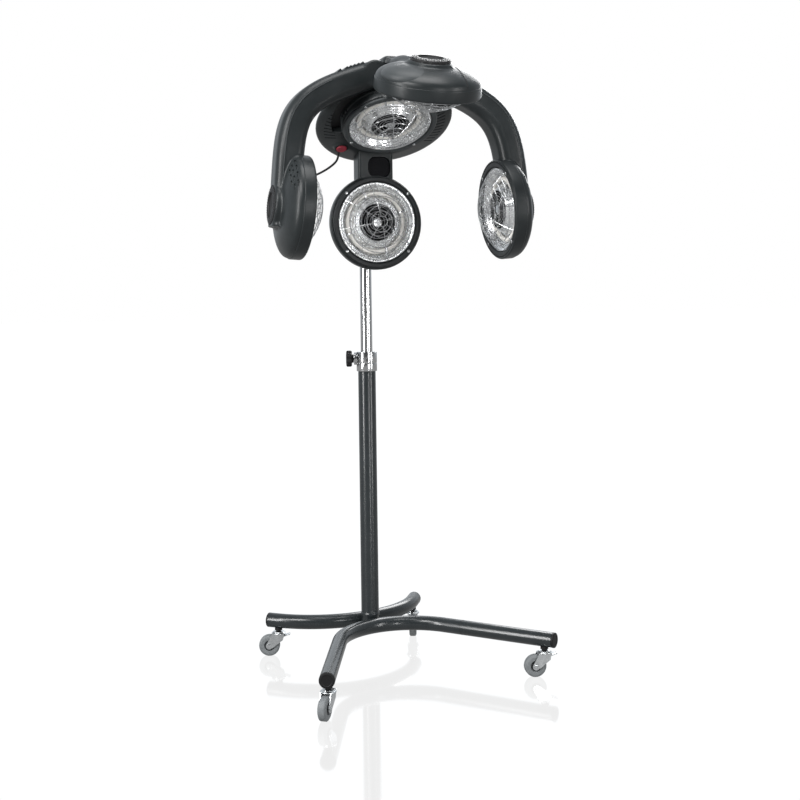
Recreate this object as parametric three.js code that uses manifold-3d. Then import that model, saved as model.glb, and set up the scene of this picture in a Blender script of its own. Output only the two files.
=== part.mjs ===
import * as THREE from 'three';
import { mergeVertices } from 'three/addons/utils/BufferGeometryUtils.js';
import Module from 'manifold-3d';

// Hair colour processor: five ring-lamp heads with fans on a hood, carried by a wheeled telescopic stand.
// Millimetres, +Z up. The hood opens towards -Y, where the client sits. Angles are in degrees.

// Clearances
const FIT = 0.3;
const ARM_GAP = 1.5;

// Casters
const WHEEL_DIAMETER = 50;
const WHEEL_WIDTH = 18;
const WHEEL_SIDES = 20;
const WHEEL_SIDE_GAP = 1;
const WHEEL_CHAMFER = 2;
const AXLE_DIAMETER = 6;
const CASTER_TRAIL = 22;
const FORK_PLATE = 2.5;
const FORK_EYE_RADIUS = 8;
const FORK_CROWN_DIAMETER = 34;
const FORK_CROWN_THICKNESS = 6;
const FORK_HEADROOM = 2;
const STEM_DIAMETER = 14;
const STEM_LENGTH = 8;
const STEM_PIN_DIAMETER = 8;
const STEM_PIN_LENGTH = 4.5;
const STEM_SETBACK = 22;
const PEDAL_PIN_DIAMETER = 4;
const PEDAL_PIN_FORWARD = 3;
const PEDAL_PIN_DROP = 9;
const PEDAL_HUB_DIAMETER = 8;
const PEDAL_LENGTH = 26;
const PEDAL_WIDTH = 16;
const PEDAL_THICKNESS = 2.5;
const PEDAL_RISE = 16;

// Bent leg tubes
const LEG_DIAMETER = 34;
const LEG_WALL = 2;
const FRONT_BEND_RADIUS = 160;
const FRONT_BEND_HALF_ANGLE = 59;
const FRONT_STRAIGHT = 280;
const REAR_BEND_RADIUS = 240;
const REAR_BEND_HALF_ANGLE = 50;
const REAR_STRAIGHT = 24;
const LEG_STEP = 56;
const CAP_FLANGE = 4;
const CAP_PLUG = 10;
const BASE_YAW = 10.4;
const CASTER_YAW = { front: 225, right: 160, left: 152, rear: 242 };

// Column, clamp and pole
const COLUMN_DIAMETER = 42;
const COLUMN_WALL = 2;
const COLUMN_TOP = 685;
const FOOT_RING_DIAMETER = 46;
const FOOT_RING_CHAMFER = 2;
const FOOT_RING_HEIGHT = 8;
const COLLAR_DIAMETER = 49;
const COLLAR_HEIGHT = 46;
const COLLAR_CHAMFER = 2;
const COLLAR_SPIGOT = 20;
const CLAMP_BOSS_DIAMETER = 30;
const CLAMP_BOSS_REACH = 31;
const CLAMP_BOSS_DROP = 16;
const KNOB_DIAMETER = 39;
const KNOB_THICKNESS = 18;
const KNOB_LOBES = 6;
const KNOB_LOBE_DEPTH = 3.5;
const KNOB_SHANK_DIAMETER = 8;
const KNOB_SHANK_LENGTH = 10;
const KNOB_HUB_DIAMETER = 20;
const KNOB_HUB_LENGTH = 4;
const KNOB_YAW = 162;
const POLE_DIAMETER = 28;
const POLE_WALL = 2;
const POLE_FOOT = 300;
const POLE_TOP = 1150;
const POLE_BUSH_LENGTH = 30;

// Lamp module, the same in all five heads. Its local +Z is the way it shines, from the bezel's front plane.
const BEZEL_DIAMETER = 212;
const BEZEL_BAND = 11.5;
const BEZEL_BORE = BEZEL_DIAMETER - 2 * BEZEL_BAND;
const BEZEL_THICKNESS = 6;
const BEZEL_CHAMFER = 2;
const SEAT_LEDGE = 4.5;
const SEAT_BORE = BEZEL_BORE - 2 * SEAT_LEDGE;
const SEAT_THICKNESS = 3;
const REFLECTOR_SHEET = 1.2;
const TROUGH_DEPTH = 25;
const TROUGH_INSET = 22;
const TROUGH_RADIUS = SEAT_BORE / 2 - TROUGH_INSET;
const TROUGH_SHOULDER_DEPTH = 20;
const TROUGH_SHOULDER_OUT = 10;
const TROUGH_SHOULDER_IN = 12;
const FAN_BORE = 85.6;
const FAN_LIP_DEPTH = 3;
const LAMP_TUBE_DIAMETER = 10;
const LAMP_SEAT_RISE = 1.1;
const GUARD_SAG = 40;
const GUARD_WIRE = 2.4;
const GUARD_EYE_RADIUS = 12;
const GUARD_RINGS = 5;
const GUARD_SPOKES = 6;
const FAN_TIP_RADIUS = 38;
const FAN_HUB_DIAMETER = 28;
const FAN_FRONT_DEPTH = 4;
const FAN_HUB_LENGTH = 14;
const FAN_BLADES = 5;
const FAN_CHORD = 16;
const FAN_BLADE_THICKNESS = 2;
const FAN_PITCH = 35;
const SHAFT_DIAMETER = 5;
const SHAFT_STICKOUT = 15;
const MOTOR_DIAMETER = 36;
const MOTOR_DEPTH = 22;
const MOTOR_LENGTH = 20;
const MOTOR_BOSS_DIAMETER = 24;
const LATHE_SIDES = 18;
const DOME_STEPS = 4;

// Lamp head shells
const RIM_LIP = 5;
const RIM_DIAMETER = BEZEL_DIAMETER + 2 * RIM_LIP;
const RIM_DEPTH = 26;
const RIM_STEP = 2;
const DOME_DEPTH = 62;
const SHELL_WALL = 3;
const CAVITY_WALL = 8;
const CAVITY_DIAMETER = RIM_DIAMETER - 2 * CAVITY_WALL;
const VENT_DIAMETER = 84;
const VENT_RIM = 6;
const VENT_RECESS = 5;
const VENT_SLOTS = 4;
const VENT_SLOT_RADIUS = 27;
const VENT_SLOT_LENGTH = 18;
const VENT_SLOT_WIDTH = 8;

// Places of the five heads: bezel centre and tilt
const NAPE_Y = -105;
const NAPE_DROP = 114;
const NAPE_Z = POLE_TOP - NAPE_DROP;
const CROWN_LEAD = 107;
const CROWN_RISE = 208;
const CROWN_Y = NAPE_Y - CROWN_LEAD;
const CROWN_Z = NAPE_Z + CROWN_RISE;
const CROWN_TILT = 28;
const SIDE_X = 220;
const SIDE_LEAD = 82;
const SIDE_DROP = 190;
const SIDE_Y = CROWN_Y - SIDE_LEAD;
const SIDE_Z = CROWN_Z - SIDE_DROP;
const SIDE_TILT = 4.5;
const FRONT_LEAD = 249;
const FRONT_RISE = 36;
const FRONT_Y = CROWN_Y - FRONT_LEAD;
const FRONT_Z = CROWN_Z + FRONT_RISE;
const FRONT_TILT = 21;

// Crown housing: a round dish behind the crown lamp, with the hub block on top
const DISH_RADIUS = 157;
const DISH_SHIFT = 34;
const DISH_FACE_DEPTH = 16;
const DISH_FACE_RADIUS = 104;
const DISH_EDGE_DEPTH = 33;
const DISH_EDGE_WIDTH = 8;
const DISH_BEVEL = 9;
const DISH_SIDES = 24;
const DISH_SHOULDER = 0.72;
const DISH_SHOULDER_DROP = 0.62;
const DISH_TOP = 0.4;
const DISH_TOP_DROP = 0.91;
const CROWN_TUBE_WALL = 2;
const DISH_BACK_DEPTH = 110;
const HUB_WIDTH = 80;
const HUB_RISE = 46;
const HUB_HEIGHT = 97;
const HUB_REAR_HEIGHT = 28;
const HUB_LEAD = 91;
const HUB_LENGTH = 163;
const HUB_CREST_LENGTH = 62;
const HUB_BOTTOM = CROWN_Z + HUB_RISE;
const HUB_TOP = HUB_BOTTOM + HUB_HEIGHT;
const HUB_REAR_TOP = HUB_BOTTOM + HUB_REAR_HEIGHT;
const HUB_FRONT = CROWN_Y - HUB_LEAD;
const HUB_REAR = HUB_FRONT + HUB_LENGTH;
const COOLING_SLOTS = 4;
const COOLING_SLOT_PITCH = 11;
const COOLING_SLOT_LENGTH = 24;
const COOLING_SLOT_WIDTH = 4;
const COOLING_SLOT_DEPTH = 4;
const COOLING_SLOT_START = 153;

// Side arms and their hinges on the hub
const ARM_WIDTH = 74;
const ARM_THICKNESS = 60;
const ARM_CORNER = 20;
const ARM_RAISE = 10;
const ARM_TAIL = 46;
const ARM_PIVOT_OUT = 18;
const ARM_PIVOT_INSET = 39;
const ARM_PIVOT_DROP = 41;
const ARM_PIVOT_X = HUB_WIDTH / 2 + ARM_PIVOT_OUT;
const ARM_PIVOT_Y = HUB_FRONT + ARM_PIVOT_INSET;
const ARM_PIVOT_Z = HUB_TOP - ARM_PIVOT_DROP;
const ARM_ROOT_SLOPE = 17;
const ARM_ROOT_PULL = 206;
const ARM_END_PULL = 196;
const ARM_STEPS = 11;
const ARM_PIN_DIAMETER = 12;
const PIN_SINK = 1;
const PIN_SIDES = 12;
const ARM_TONGUE_WIDTH = 30;
const ARM_TONGUE_DIAMETER = 46;
const ARM_LINK_HEIGHT = 20;
const ARM_RIBS = 4;
const ARM_RIB_START = 24;
const ARM_RIB_PITCH = 11;
const ARM_RIB_WIDTH = 6;
const ARM_RIB_HEIGHT = 3;
const ARM_RIB_LENGTH = 48;

// Front strap and its hinge on the hub
const STRAP_WIDTH = 78;
const STRAP_THICKNESS = 34;
const STRAP_CORNER = 12;
const STRAP_RAISE = 4;
const STRAP_TAIL = 34;
const STRAP_PIVOT_LEAD = 19;
const STRAP_PIVOT_DROP = 29;
const STRAP_PIVOT_Y = HUB_FRONT - STRAP_PIVOT_LEAD;
const STRAP_PIVOT_Z = HUB_TOP - STRAP_PIVOT_DROP;
const STRAP_PULL = 60;
const STRAP_STEPS = 6;
const STRAP_PIN_DIAMETER = 10;
const STRAP_TONGUE_WIDTH = 30;
const STRAP_TONGUE_DIAMETER = 26;
const STRAP_LINK_HEIGHT = 14;

// Nape housing: neck up to the dish and socket on the pole
const NAPE_RIM_LIP = 4;
const NAPE_RIM_DIAMETER = BEZEL_DIAMETER + 2 * NAPE_RIM_LIP;
const NECK_WIDTH = 84;
const NECK_SETBACK = 7;
const NECK_DEPTH = 48;
const NECK_RISE = 54;
const NECK_HEADROOM = 35;
const NECK_FRONT = NAPE_Y + NECK_SETBACK;
const NECK_BACK = NECK_FRONT + NECK_DEPTH;
const NECK_BOTTOM = NAPE_Z + NECK_RISE;
const NECK_TOP = CROWN_Z - NECK_HEADROOM;
const SOCKET_DIAMETER = 44;
const SOCKET_LENGTH = 195;
const SOCKET_BOTTOM = POLE_TOP - SOCKET_LENGTH;
const SOCKET_CROWN = 14;
const SOCKET_WEB_WIDTH = 38;
const SOCKET_WEB_RISE = 10;
const COVER_X = 8;
const COVER_WIDTH = 54;
const COVER_HEIGHT = 48;
const COVER_RISE = 51;
const COVER_BOTTOM = NECK_BOTTOM + COVER_RISE;
const COVER_TOP = COVER_BOTTOM + COVER_HEIGHT;
const COVER_CORNER = 18;
const COVER_THICKNESS = 7;
const COVER_RECESS = 4;

// Power switch on the dish face, in the crown lamp's own plane
const SWITCH_DIAMETER = 24;
const SWITCH_X = -85;
const SWITCH_Y = -112;
const SWITCH_PROUD = 4;
const SWITCH_BODY = 9;
const SWITCH_TRAVEL = 2.5;
const SWITCH_BOSS_DIAMETER = 34;
const SWITCH_SIDES = 20;

// Control cable between the dish and the left head, by points from the crown lamp's centre
const CABLE_DIAMETER = 5;
const CABLE_SINK = 3;
const CABLE_STEPS = 12;
const CABLE_ROUTE = [
  [-84, 131, -42],
  [-98, 112, -70],
  [-146, 70, -100],
  [-202, 42, -120],
  [-233, 15, -138],
];

const MERGE_TOLERANCE = 1e-4;
const radians = THREE.MathUtils.degToRad;

const wasm = await Module();
wasm.setup();

// A closed solid from a geometry: shared corners merged, empty triangles dropped, faces turned outwards.
function toSolid(geometry) {
  const bare = geometry.clone();
  bare.deleteAttribute('normal');
  bare.deleteAttribute('uv');
  const merged = mergeVertices(bare, MERGE_TOLERANCE);
  const points = merged.attributes.position;
  const corners = [new THREE.Vector3(), new THREE.Vector3(), new THREE.Vector3()];
  const triangles = [];
  let volume = 0;
  for (let i = 0; i < merged.index.count; i += 3) {
    const [a, b, c] = [0, 1, 2].map((k) => merged.index.getX(i + k));
    if (a === b || b === c || c === a) continue;
    [a, b, c].forEach((vertex, k) => corners[k].fromBufferAttribute(points, vertex));
    volume += corners[0].dot(corners[1].clone().cross(corners[2]));
    triangles.push([a, b, c]);
  }
  const outward = triangles.map(([a, b, c]) => (volume > 0 ? [a, b, c] : [a, c, b]));
  const mesh = new wasm.Mesh({
    numProp: 3,
    vertProperties: points.array,
    triVerts: new Uint32Array(outward.flat()),
  });
  mesh.merge();
  return new wasm.Manifold(mesh);
}

function toGeometry(solid) {
  const mesh = solid.getMesh();
  const geometry = new THREE.BufferGeometry();
  geometry.setAttribute('position', new THREE.BufferAttribute(new Float32Array(mesh.vertProperties), 3));
  geometry.setIndex(new THREE.BufferAttribute(new Uint32Array(mesh.triVerts), 1));
  geometry.computeVertexNormals();
  return geometry;
}

function union(...geometries) {
  return geometries.map(toSolid).reduce((sum, solid) => sum.add(solid));
}

function cut(solid, ...geometries) {
  return geometries.reduce((rest, geometry) => rest.subtract(toSolid(geometry)), solid);
}

// A turned form about Z from pairs of radius and height.
function turned(profile, sides = LATHE_SIDES) {
  const points = profile.map(([radius, height]) => new THREE.Vector2(radius, height));
  return new THREE.LatheGeometry(points, sides).rotateX(Math.PI / 2);
}

// A turned ring: the profile closes on itself.
function turnedRing(profile, sides = LATHE_SIDES) {
  return turned([...profile, profile[0]], sides);
}

// A round bar between two points.
function rod(diameter, from, to, sides = LATHE_SIDES) {
  const start = new THREE.Vector3(...from);
  const end = new THREE.Vector3(...to);
  const along = end.clone().sub(start);
  const bar = new THREE.CylinderGeometry(diameter / 2, diameter / 2, along.length(), sides);
  const turn = new THREE.Quaternion().setFromUnitVectors(new THREE.Vector3(0, 1, 0), along.normalize());
  const middle = start.add(end).multiplyScalar(1 / 2);
  return bar.applyQuaternion(turn).translate(middle.x, middle.y, middle.z);
}

// A block from its lowest and highest corners.
function block(low, high) {
  const size = high.map((value, axis) => value - low[axis]);
  const centre = high.map((value, axis) => (value + low[axis]) / 2);
  return new THREE.BoxGeometry(...size).translate(...centre);
}

function roundedRectangle(width, height, corner) {
  const [x, y] = [width / 2 - corner, height / 2 - corner];
  const shape = new THREE.Shape();
  shape.absarc(x, y, corner, 0, Math.PI / 2);
  shape.absarc(-x, y, corner, Math.PI / 2, Math.PI);
  shape.absarc(-x, -y, corner, Math.PI, 3 * Math.PI / 2);
  shape.absarc(x, -y, corner, 3 * Math.PI / 2, 2 * Math.PI);
  shape.closePath();
  return shape;
}

function disc(diameter) {
  return new THREE.Shape().absarc(0, 0, diameter / 2, 0, 2 * Math.PI);
}

function swept(shape, extrudePath, steps, curveSegments) {
  return new THREE.ExtrudeGeometry(shape, { extrudePath, steps, curveSegments });
}

// Materials, one for each piece
function material(color, roughness, metalness) {
  return () => new THREE.MeshStandardMaterial({ color, roughness, metalness });
}
const charcoalPlastic = material(0x33383a, 0.42, 0);
const darkPlastic = material(0x232728, 0.5, 0);
const blackGloss = material(0x08090a, 0.12, 0);
const blackPlastic = material(0x0c0d0e, 0.55, 0);
const greyPaint = material(0x3c4144, 0.3, 0.2);
const chrome = material(0xd8dadc, 0.08, 1);
const brightSteel = material(0xb9bdc0, 0.3, 1);
const mirrorAluminium = material(0xdfe2e4, 0.15, 1);
const frostedQuartz = material(0xe9e6df, 0.35, 0);
const greyRubber = material(0x7d8284, 0.8, 0);
const redPlastic = material(0x8f1f33, 0.35, 0);

function piece(parent, name, solid, finish) {
  const mesh = new THREE.Mesh(toGeometry(solid), finish());
  mesh.name = name;
  parent.add(mesh);
  return mesh;
}

// Heights that follow from the casters and the tubes
const axleHeight = WHEEL_DIAMETER / 2;
const crownUnderside = WHEEL_DIAMETER + FORK_HEADROOM;
const crownTop = crownUnderside + FORK_CROWN_THICKNESS;
const legUnderside = crownTop + FIT + STEM_LENGTH;
const legAxis = legUnderside + LEG_DIAMETER / 2;
const legTop = legAxis + LEG_DIAMETER / 2;
const legApex = COLUMN_DIAMETER / 2 + FIT + LEG_DIAMETER / 2;

// The centre line of a leg tube: a bend round the column's foot with a straight run to each end.
class LegLine extends THREE.Curve {
  constructor(bendRadius, halfAngle, straight) {
    super();
    this.bendRadius = bendRadius;
    this.halfTurn = radians(halfAngle);
    this.straight = straight;
  }

  getPoint(t, target = new THREE.Vector3()) {
    const arc = this.bendRadius * this.halfTurn;
    const run = (2 * t - 1) * (arc + this.straight);
    const bent = THREE.MathUtils.clamp(run, -arc, arc);
    const angle = bent / this.bendRadius;
    const rest = run - bent;
    const x = this.bendRadius * Math.sin(angle) + rest * Math.cos(angle);
    const y = -legApex - this.bendRadius * (1 - Math.cos(angle)) - rest * Math.sin(angle);
    return target.set(x, y, legAxis);
  }

  length() {
    return 2 * (this.bendRadius * this.halfTurn + this.straight);
  }
}

// Both ends of a tube, with the outward direction and the point above the caster stem.
function legEnds(line) {
  const setback = STEM_SETBACK / line.length();
  return [[0, setback, -1], [1, 1 - setback, 1]].map(([end, inner, sign]) => ({
    tip: line.getPoint(end),
    outward: line.getTangent(end).multiplyScalar(sign),
    stem: line.getPoint(inner),
  }));
}

function legTube(line) {
  const section = disc(LEG_DIAMETER);
  section.holes.push(disc(LEG_DIAMETER - 2 * LEG_WALL));
  const steps = 2 * Math.ceil(line.length() / LEG_STEP / 2);
  const tube = swept(section, line, steps, 6);
  const stems = legEnds(line).flatMap(({ stem }) => [
    rod(STEM_DIAMETER, [stem.x, stem.y, crownTop + FIT], [stem.x, stem.y, legUnderside + LEG_WALL], 8),
    rod(STEM_PIN_DIAMETER, [stem.x, stem.y, crownTop - STEM_PIN_LENGTH], [stem.x, stem.y, crownTop + STEM_LENGTH / 2], 8),
  ]);
  return union(tube, ...stems);
}

function endCap({ tip, outward }) {
  const bore = LEG_DIAMETER - 2 * LEG_WALL - 2 * FIT;
  const at = (distance) => tip.clone().addScaledVector(outward, distance).toArray();
  return union(
    rod(LEG_DIAMETER, at(FIT), at(FIT + CAP_FLANGE), 12),
    rod(bore * Math.cos(Math.PI / 12), at(-CAP_PLUG), at(FIT + CAP_FLANGE / 2), 8),
  );
}

// Caster parts, with the swivel axis on Z and the wheel trailing along +X
const forkInside = WHEEL_WIDTH / 2 + WHEEL_SIDE_GAP;
const forkOutside = forkInside + FORK_PLATE;
const pedalPin = [-PEDAL_PIN_FORWARD, crownUnderside - PEDAL_PIN_DROP];

function across(diameter, [x, z], halfWidth, sides) {
  return rod(diameter, [x, -halfWidth, z], [x, halfWidth, z], sides);
}

function forkPlate(sign) {
  const cheek = new THREE.Shape();
  const crownHalf = FORK_CROWN_DIAMETER / 2 - FORK_PLATE;
  cheek.moveTo(-crownHalf, crownTop - FORK_CROWN_THICKNESS / 3);
  cheek.lineTo(pedalPin[0] - PEDAL_HUB_DIAMETER, pedalPin[1] - PEDAL_HUB_DIAMETER / 2);
  cheek.absarc(CASTER_TRAIL, axleHeight, FORK_EYE_RADIUS, 1.2 * Math.PI, 2.1 * Math.PI);
  cheek.lineTo(crownHalf, crownTop - FORK_CROWN_THICKNESS / 3);
  const plate = new THREE.ExtrudeGeometry(cheek, {
    depth: FORK_PLATE,
    bevelEnabled: false,
    curveSegments: 3,
  });
  plate.rotateX(Math.PI / 2);
  return plate.translate(0, sign > 0 ? forkOutside : -forkInside, 0);
}

function casterFork() {
  const crown = rod(FORK_CROWN_DIAMETER, [0, 0, crownUnderside], [0, 0, crownTop], 16);
  const pinBore = STEM_PIN_DIAMETER + 2 * FIT;
  const fork = union(
    crown,
    forkPlate(1),
    forkPlate(-1),
    across(AXLE_DIAMETER, [CASTER_TRAIL, axleHeight], forkOutside + 1, 8),
    across(PEDAL_PIN_DIAMETER, pedalPin, forkOutside - FORK_PLATE / 2, 8),
  );
  const boreFloor = crownTop - STEM_PIN_LENGTH - FIT;
  return cut(fork, rod(pinBore / Math.cos(Math.PI / 12), [0, 0, boreFloor], [0, 0, crownTop + 1], 12));
}

function casterWheel() {
  const [bore, tread] = [AXLE_DIAMETER / 2 + FIT, WHEEL_DIAMETER / 2 / Math.cos(Math.PI / WHEEL_SIDES)];
  const half = WHEEL_WIDTH / 2;
  const wheel = turnedRing([
    [bore, -half],
    [tread - WHEEL_CHAMFER, -half],
    [tread, -half + WHEEL_CHAMFER],
    [tread, half - WHEEL_CHAMFER],
    [tread - WHEEL_CHAMFER, half],
    [bore, half],
  ], WHEEL_SIDES);
  wheel.rotateZ(Math.PI / WHEEL_SIDES).rotateX(Math.PI / 2);
  return toSolid(wheel.translate(CASTER_TRAIL, 0, axleHeight));
}

function brakePedal() {
  const half = forkInside - FIT;
  const tab = block([-PEDAL_LENGTH, -PEDAL_WIDTH / 2, 0], [0, PEDAL_WIDTH / 2, PEDAL_THICKNESS]);
  tab.rotateY(radians(PEDAL_RISE)).translate(pedalPin[0], 0, pedalPin[1]);
  const lever = union(across(PEDAL_HUB_DIAMETER, pedalPin, half, 12), tab);
  return cut(lever, across(PEDAL_PIN_DIAMETER + 2.4 * FIT, pedalPin, half + 1, 8));
}

function column() {
  const [outer, inner] = [COLUMN_DIAMETER / 2, COLUMN_DIAMETER / 2 - COLUMN_WALL];
  const ring = FOOT_RING_DIAMETER / 2;
  return toSolid(turnedRing([
    [inner, legUnderside],
    [outer, legUnderside],
    [outer, legTop + FIT],
    [ring, legTop + FIT],
    [ring, legTop + FIT + FOOT_RING_HEIGHT - FOOT_RING_CHAMFER],
    [ring - FOOT_RING_CHAMFER, legTop + FIT + FOOT_RING_HEIGHT],
    [outer, legTop + FIT + FOOT_RING_HEIGHT],
    [outer, COLUMN_TOP],
    [inner, COLUMN_TOP],
  ]));
}

// The clamp's boss points along +X of a group turned by KNOB_YAW.
const collarTop = COLUMN_TOP + FIT + COLLAR_HEIGHT;
const clampHeight = collarTop - CLAMP_BOSS_DROP;

function clampCollar() {
  const bore = POLE_DIAMETER / 2 + FIT;
  const outer = COLLAR_DIAMETER / 2;
  const spigot = COLUMN_DIAMETER / 2 - COLUMN_WALL - FIT;
  const sleeve = turned([
    [0, COLUMN_TOP - COLLAR_SPIGOT],
    [spigot, COLUMN_TOP - COLLAR_SPIGOT],
    [spigot, COLUMN_TOP + FIT],
    [outer, COLUMN_TOP + FIT],
    [outer, collarTop - COLLAR_CHAMFER],
    [outer - COLLAR_CHAMFER, collarTop],
    [0, collarTop],
  ]);
  const boss = rod(CLAMP_BOSS_DIAMETER, [0, 0, clampHeight], [CLAMP_BOSS_REACH, 0, clampHeight]);
  return cut(
    union(sleeve, boss),
    rod(2 * bore, [0, 0, COLUMN_TOP - 2 * COLLAR_SPIGOT], [0, 0, collarTop + 1]),
    rod(KNOB_SHANK_DIAMETER + 2 * FIT, [bore, 0, clampHeight], [CLAMP_BOSS_REACH + 1, 0, clampHeight], 12),
  );
}

function clampKnob() {
  const outline = [];
  const samples = 4 * KNOB_LOBES;
  for (let i = 0; i < samples; i += 1) {
    const angle = 2 * Math.PI * i / samples;
    const radius = KNOB_DIAMETER / 2 - KNOB_LOBE_DEPTH * (1 - Math.cos(KNOB_LOBES * angle)) / 2;
    outline.push(new THREE.Vector2(radius * Math.cos(angle), radius * Math.sin(angle)));
  }
  const start = CLAMP_BOSS_REACH + FIT;
  const head = new THREE.ExtrudeGeometry(new THREE.Shape(outline), {
    depth: KNOB_THICKNESS - 2 * KNOB_HUB_LENGTH,
    bevelThickness: KNOB_HUB_LENGTH / 2,
    bevelSize: KNOB_HUB_LENGTH / 2,
    bevelOffset: -KNOB_HUB_LENGTH / 2,
    bevelSegments: 1,
  });
  head.rotateY(Math.PI / 2).translate(start + 1.5 * KNOB_HUB_LENGTH, 0, clampHeight);
  const shankTip = start - KNOB_SHANK_LENGTH;
  return union(
    head,
    rod(KNOB_HUB_DIAMETER, [start, 0, clampHeight], [start + 2 * KNOB_HUB_LENGTH, 0, clampHeight], 16),
    rod(KNOB_SHANK_DIAMETER * Math.cos(Math.PI / 12), [shankTip, 0, clampHeight], [start + 1, 0, clampHeight], 12),
  );
}

function pole() {
  const [outer, inner] = [POLE_DIAMETER / 2, POLE_DIAMETER / 2 - POLE_WALL];
  const bush = COLUMN_DIAMETER / 2 - COLUMN_WALL - FIT;
  return toSolid(turnedRing([
    [inner, POLE_FOOT],
    [bush, POLE_FOOT],
    [bush, POLE_FOOT + POLE_BUSH_LENGTH],
    [outer, POLE_FOOT + POLE_BUSH_LENGTH],
    [outer, POLE_TOP],
    [inner, POLE_TOP],
  ]));
}

// Depths in the lamp module, below the bezel's front plane
const seatDepth = BEZEL_THICKNESS + FIT;
const flangeBack = BEZEL_THICKNESS;
const flangeFront = flangeBack - REFLECTOR_SHEET;
const shineEdge = BEZEL_BORE / 2 * Math.cos(Math.PI / LATHE_SIDES) - FIT;

function bezel() {
  const [outer, inner] = [BEZEL_DIAMETER / 2, BEZEL_BORE / 2];
  return toSolid(turnedRing([
    [inner, -BEZEL_THICKNESS],
    [outer, -BEZEL_THICKNESS],
    [outer, -BEZEL_CHAMFER],
    [outer - BEZEL_CHAMFER, 0],
    [inner, 0],
  ]));
}

function reflector() {
  const sheet = REFLECTOR_SHEET;
  const lip = FAN_BORE / 2;
  const mouth = SEAT_BORE / 2 - 2 * sheet;
  const [outerShoulder, innerShoulder] = [TROUGH_RADIUS + TROUGH_SHOULDER_OUT, TROUGH_RADIUS - TROUGH_SHOULDER_IN];
  return toSolid(turnedRing([
    [shineEdge, -flangeBack],
    [shineEdge, -flangeFront],
    [mouth, -flangeFront],
    [outerShoulder, -TROUGH_SHOULDER_DEPTH],
    [TROUGH_RADIUS, -TROUGH_DEPTH],
    [innerShoulder, -TROUGH_SHOULDER_DEPTH],
    [lip + sheet, -FAN_LIP_DEPTH],
    [lip, -FAN_LIP_DEPTH],
    [lip, -TROUGH_SHOULDER_DEPTH],
    [innerShoulder, -TROUGH_DEPTH - sheet],
    [outerShoulder, -TROUGH_DEPTH - sheet],
    [mouth + sheet, -flangeBack],
  ]));
}

function ringLamp() {
  const tube = LAMP_TUBE_DIAMETER / 2;
  const ring = new THREE.TorusGeometry(TROUGH_RADIUS, tube, 5, LATHE_SIDES);
  return toSolid(ring.translate(0, 0, tube + LAMP_SEAT_RISE - TROUGH_DEPTH));
}

// The domed wire guard: rings and spokes as the filled cells of a polar grid, closed all round.
function guardHeight(radius) {
  return FIT - flangeFront + GUARD_SAG * (1 - (radius / shineEdge) ** 2);
}

function wireGuard() {
  const radii = [];
  for (let ring = 0; ring < GUARD_RINGS; ring += 1) {
    const outer = THREE.MathUtils.lerp(GUARD_EYE_RADIUS, shineEdge, ring / (GUARD_RINGS - 1));
    radii.push(outer - GUARD_WIRE, outer);
  }
  const stations = 3;
  const columns = GUARD_SPOKES * stations;
  const spokeAngle = 2 * Math.PI / GUARD_SPOKES;
  const corner = (row, column, layer) => {
    const radius = radii[row];
    const spoke = Math.floor(column / stations) * spokeAngle;
    const half = Math.asin(GUARD_WIRE / 2 / radius);
    const offsets = [-half, half, spokeAngle / 2];
    const angle = spoke + offsets[column % stations];
    return [radius * Math.cos(angle), radius * Math.sin(angle), guardHeight(radius) + layer * GUARD_WIRE];
  };
  const filled = (row, column) => {
    if (row < 0 || row >= radii.length - 1) return false;
    return row % 2 === 0 || column % stations === 0;
  };
  const positions = [];
  const quad = (a, b, c, d) => positions.push(...a, ...b, ...c, ...a, ...c, ...d);
  for (let row = 0; row < radii.length - 1; row += 1) {
    for (let column = 0; column < columns; column += 1) {
      if (!filled(row, column)) continue;
      const next = (column + 1) % columns;
      const previous = (column + columns - 1) % columns;
      const [a, b, c, d] = [[row, column], [row + 1, column], [row + 1, next], [row, next]];
      const [low, high] = [0, 1].map((layer) => [a, b, c, d].map(([r, k]) => corner(r, k, layer)));
      quad(high[0], high[1], high[2], high[3]);
      quad(low[3], low[2], low[1], low[0]);
      if (!filled(row - 1, column)) quad(low[0], high[0], high[3], low[3]);
      if (!filled(row + 1, column)) quad(low[2], high[2], high[1], low[1]);
      if (!filled(row, previous)) quad(low[1], high[1], high[0], low[0]);
      if (!filled(row, next)) quad(low[3], high[3], high[2], low[2]);
    }
  }
  const geometry = new THREE.BufferGeometry();
  geometry.setAttribute('position', new THREE.Float32BufferAttribute(positions, 3));
  return toSolid(geometry);
}

function fan() {
  const back = -FAN_FRONT_DEPTH - FAN_HUB_LENGTH;
  const middle = -FAN_FRONT_DEPTH - FAN_HUB_LENGTH / 2;
  const blades = [];
  for (let i = 0; i < FAN_BLADES; i += 1) {
    const blade = block(
      [FAN_HUB_DIAMETER / 2 - FAN_BLADE_THICKNESS, -FAN_CHORD / 2, -FAN_BLADE_THICKNESS / 2],
      [FAN_TIP_RADIUS, FAN_CHORD / 2, FAN_BLADE_THICKNESS / 2],
    );
    blade.rotateX(radians(FAN_PITCH)).translate(0, 0, middle).rotateZ(2 * Math.PI * i / FAN_BLADES);
    blades.push(blade);
  }
  const hub = rod(FAN_HUB_DIAMETER, [0, 0, back], [0, 0, -FAN_FRONT_DEPTH], 12);
  const boreEnd = -MOTOR_DEPTH + SHAFT_STICKOUT + FIT;
  const bore = rod(SHAFT_DIAMETER + 2.2 * FIT, [0, 0, back - 1], [0, 0, boreEnd], 10);
  return cut(union(hub, ...blades), bore);
}

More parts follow.
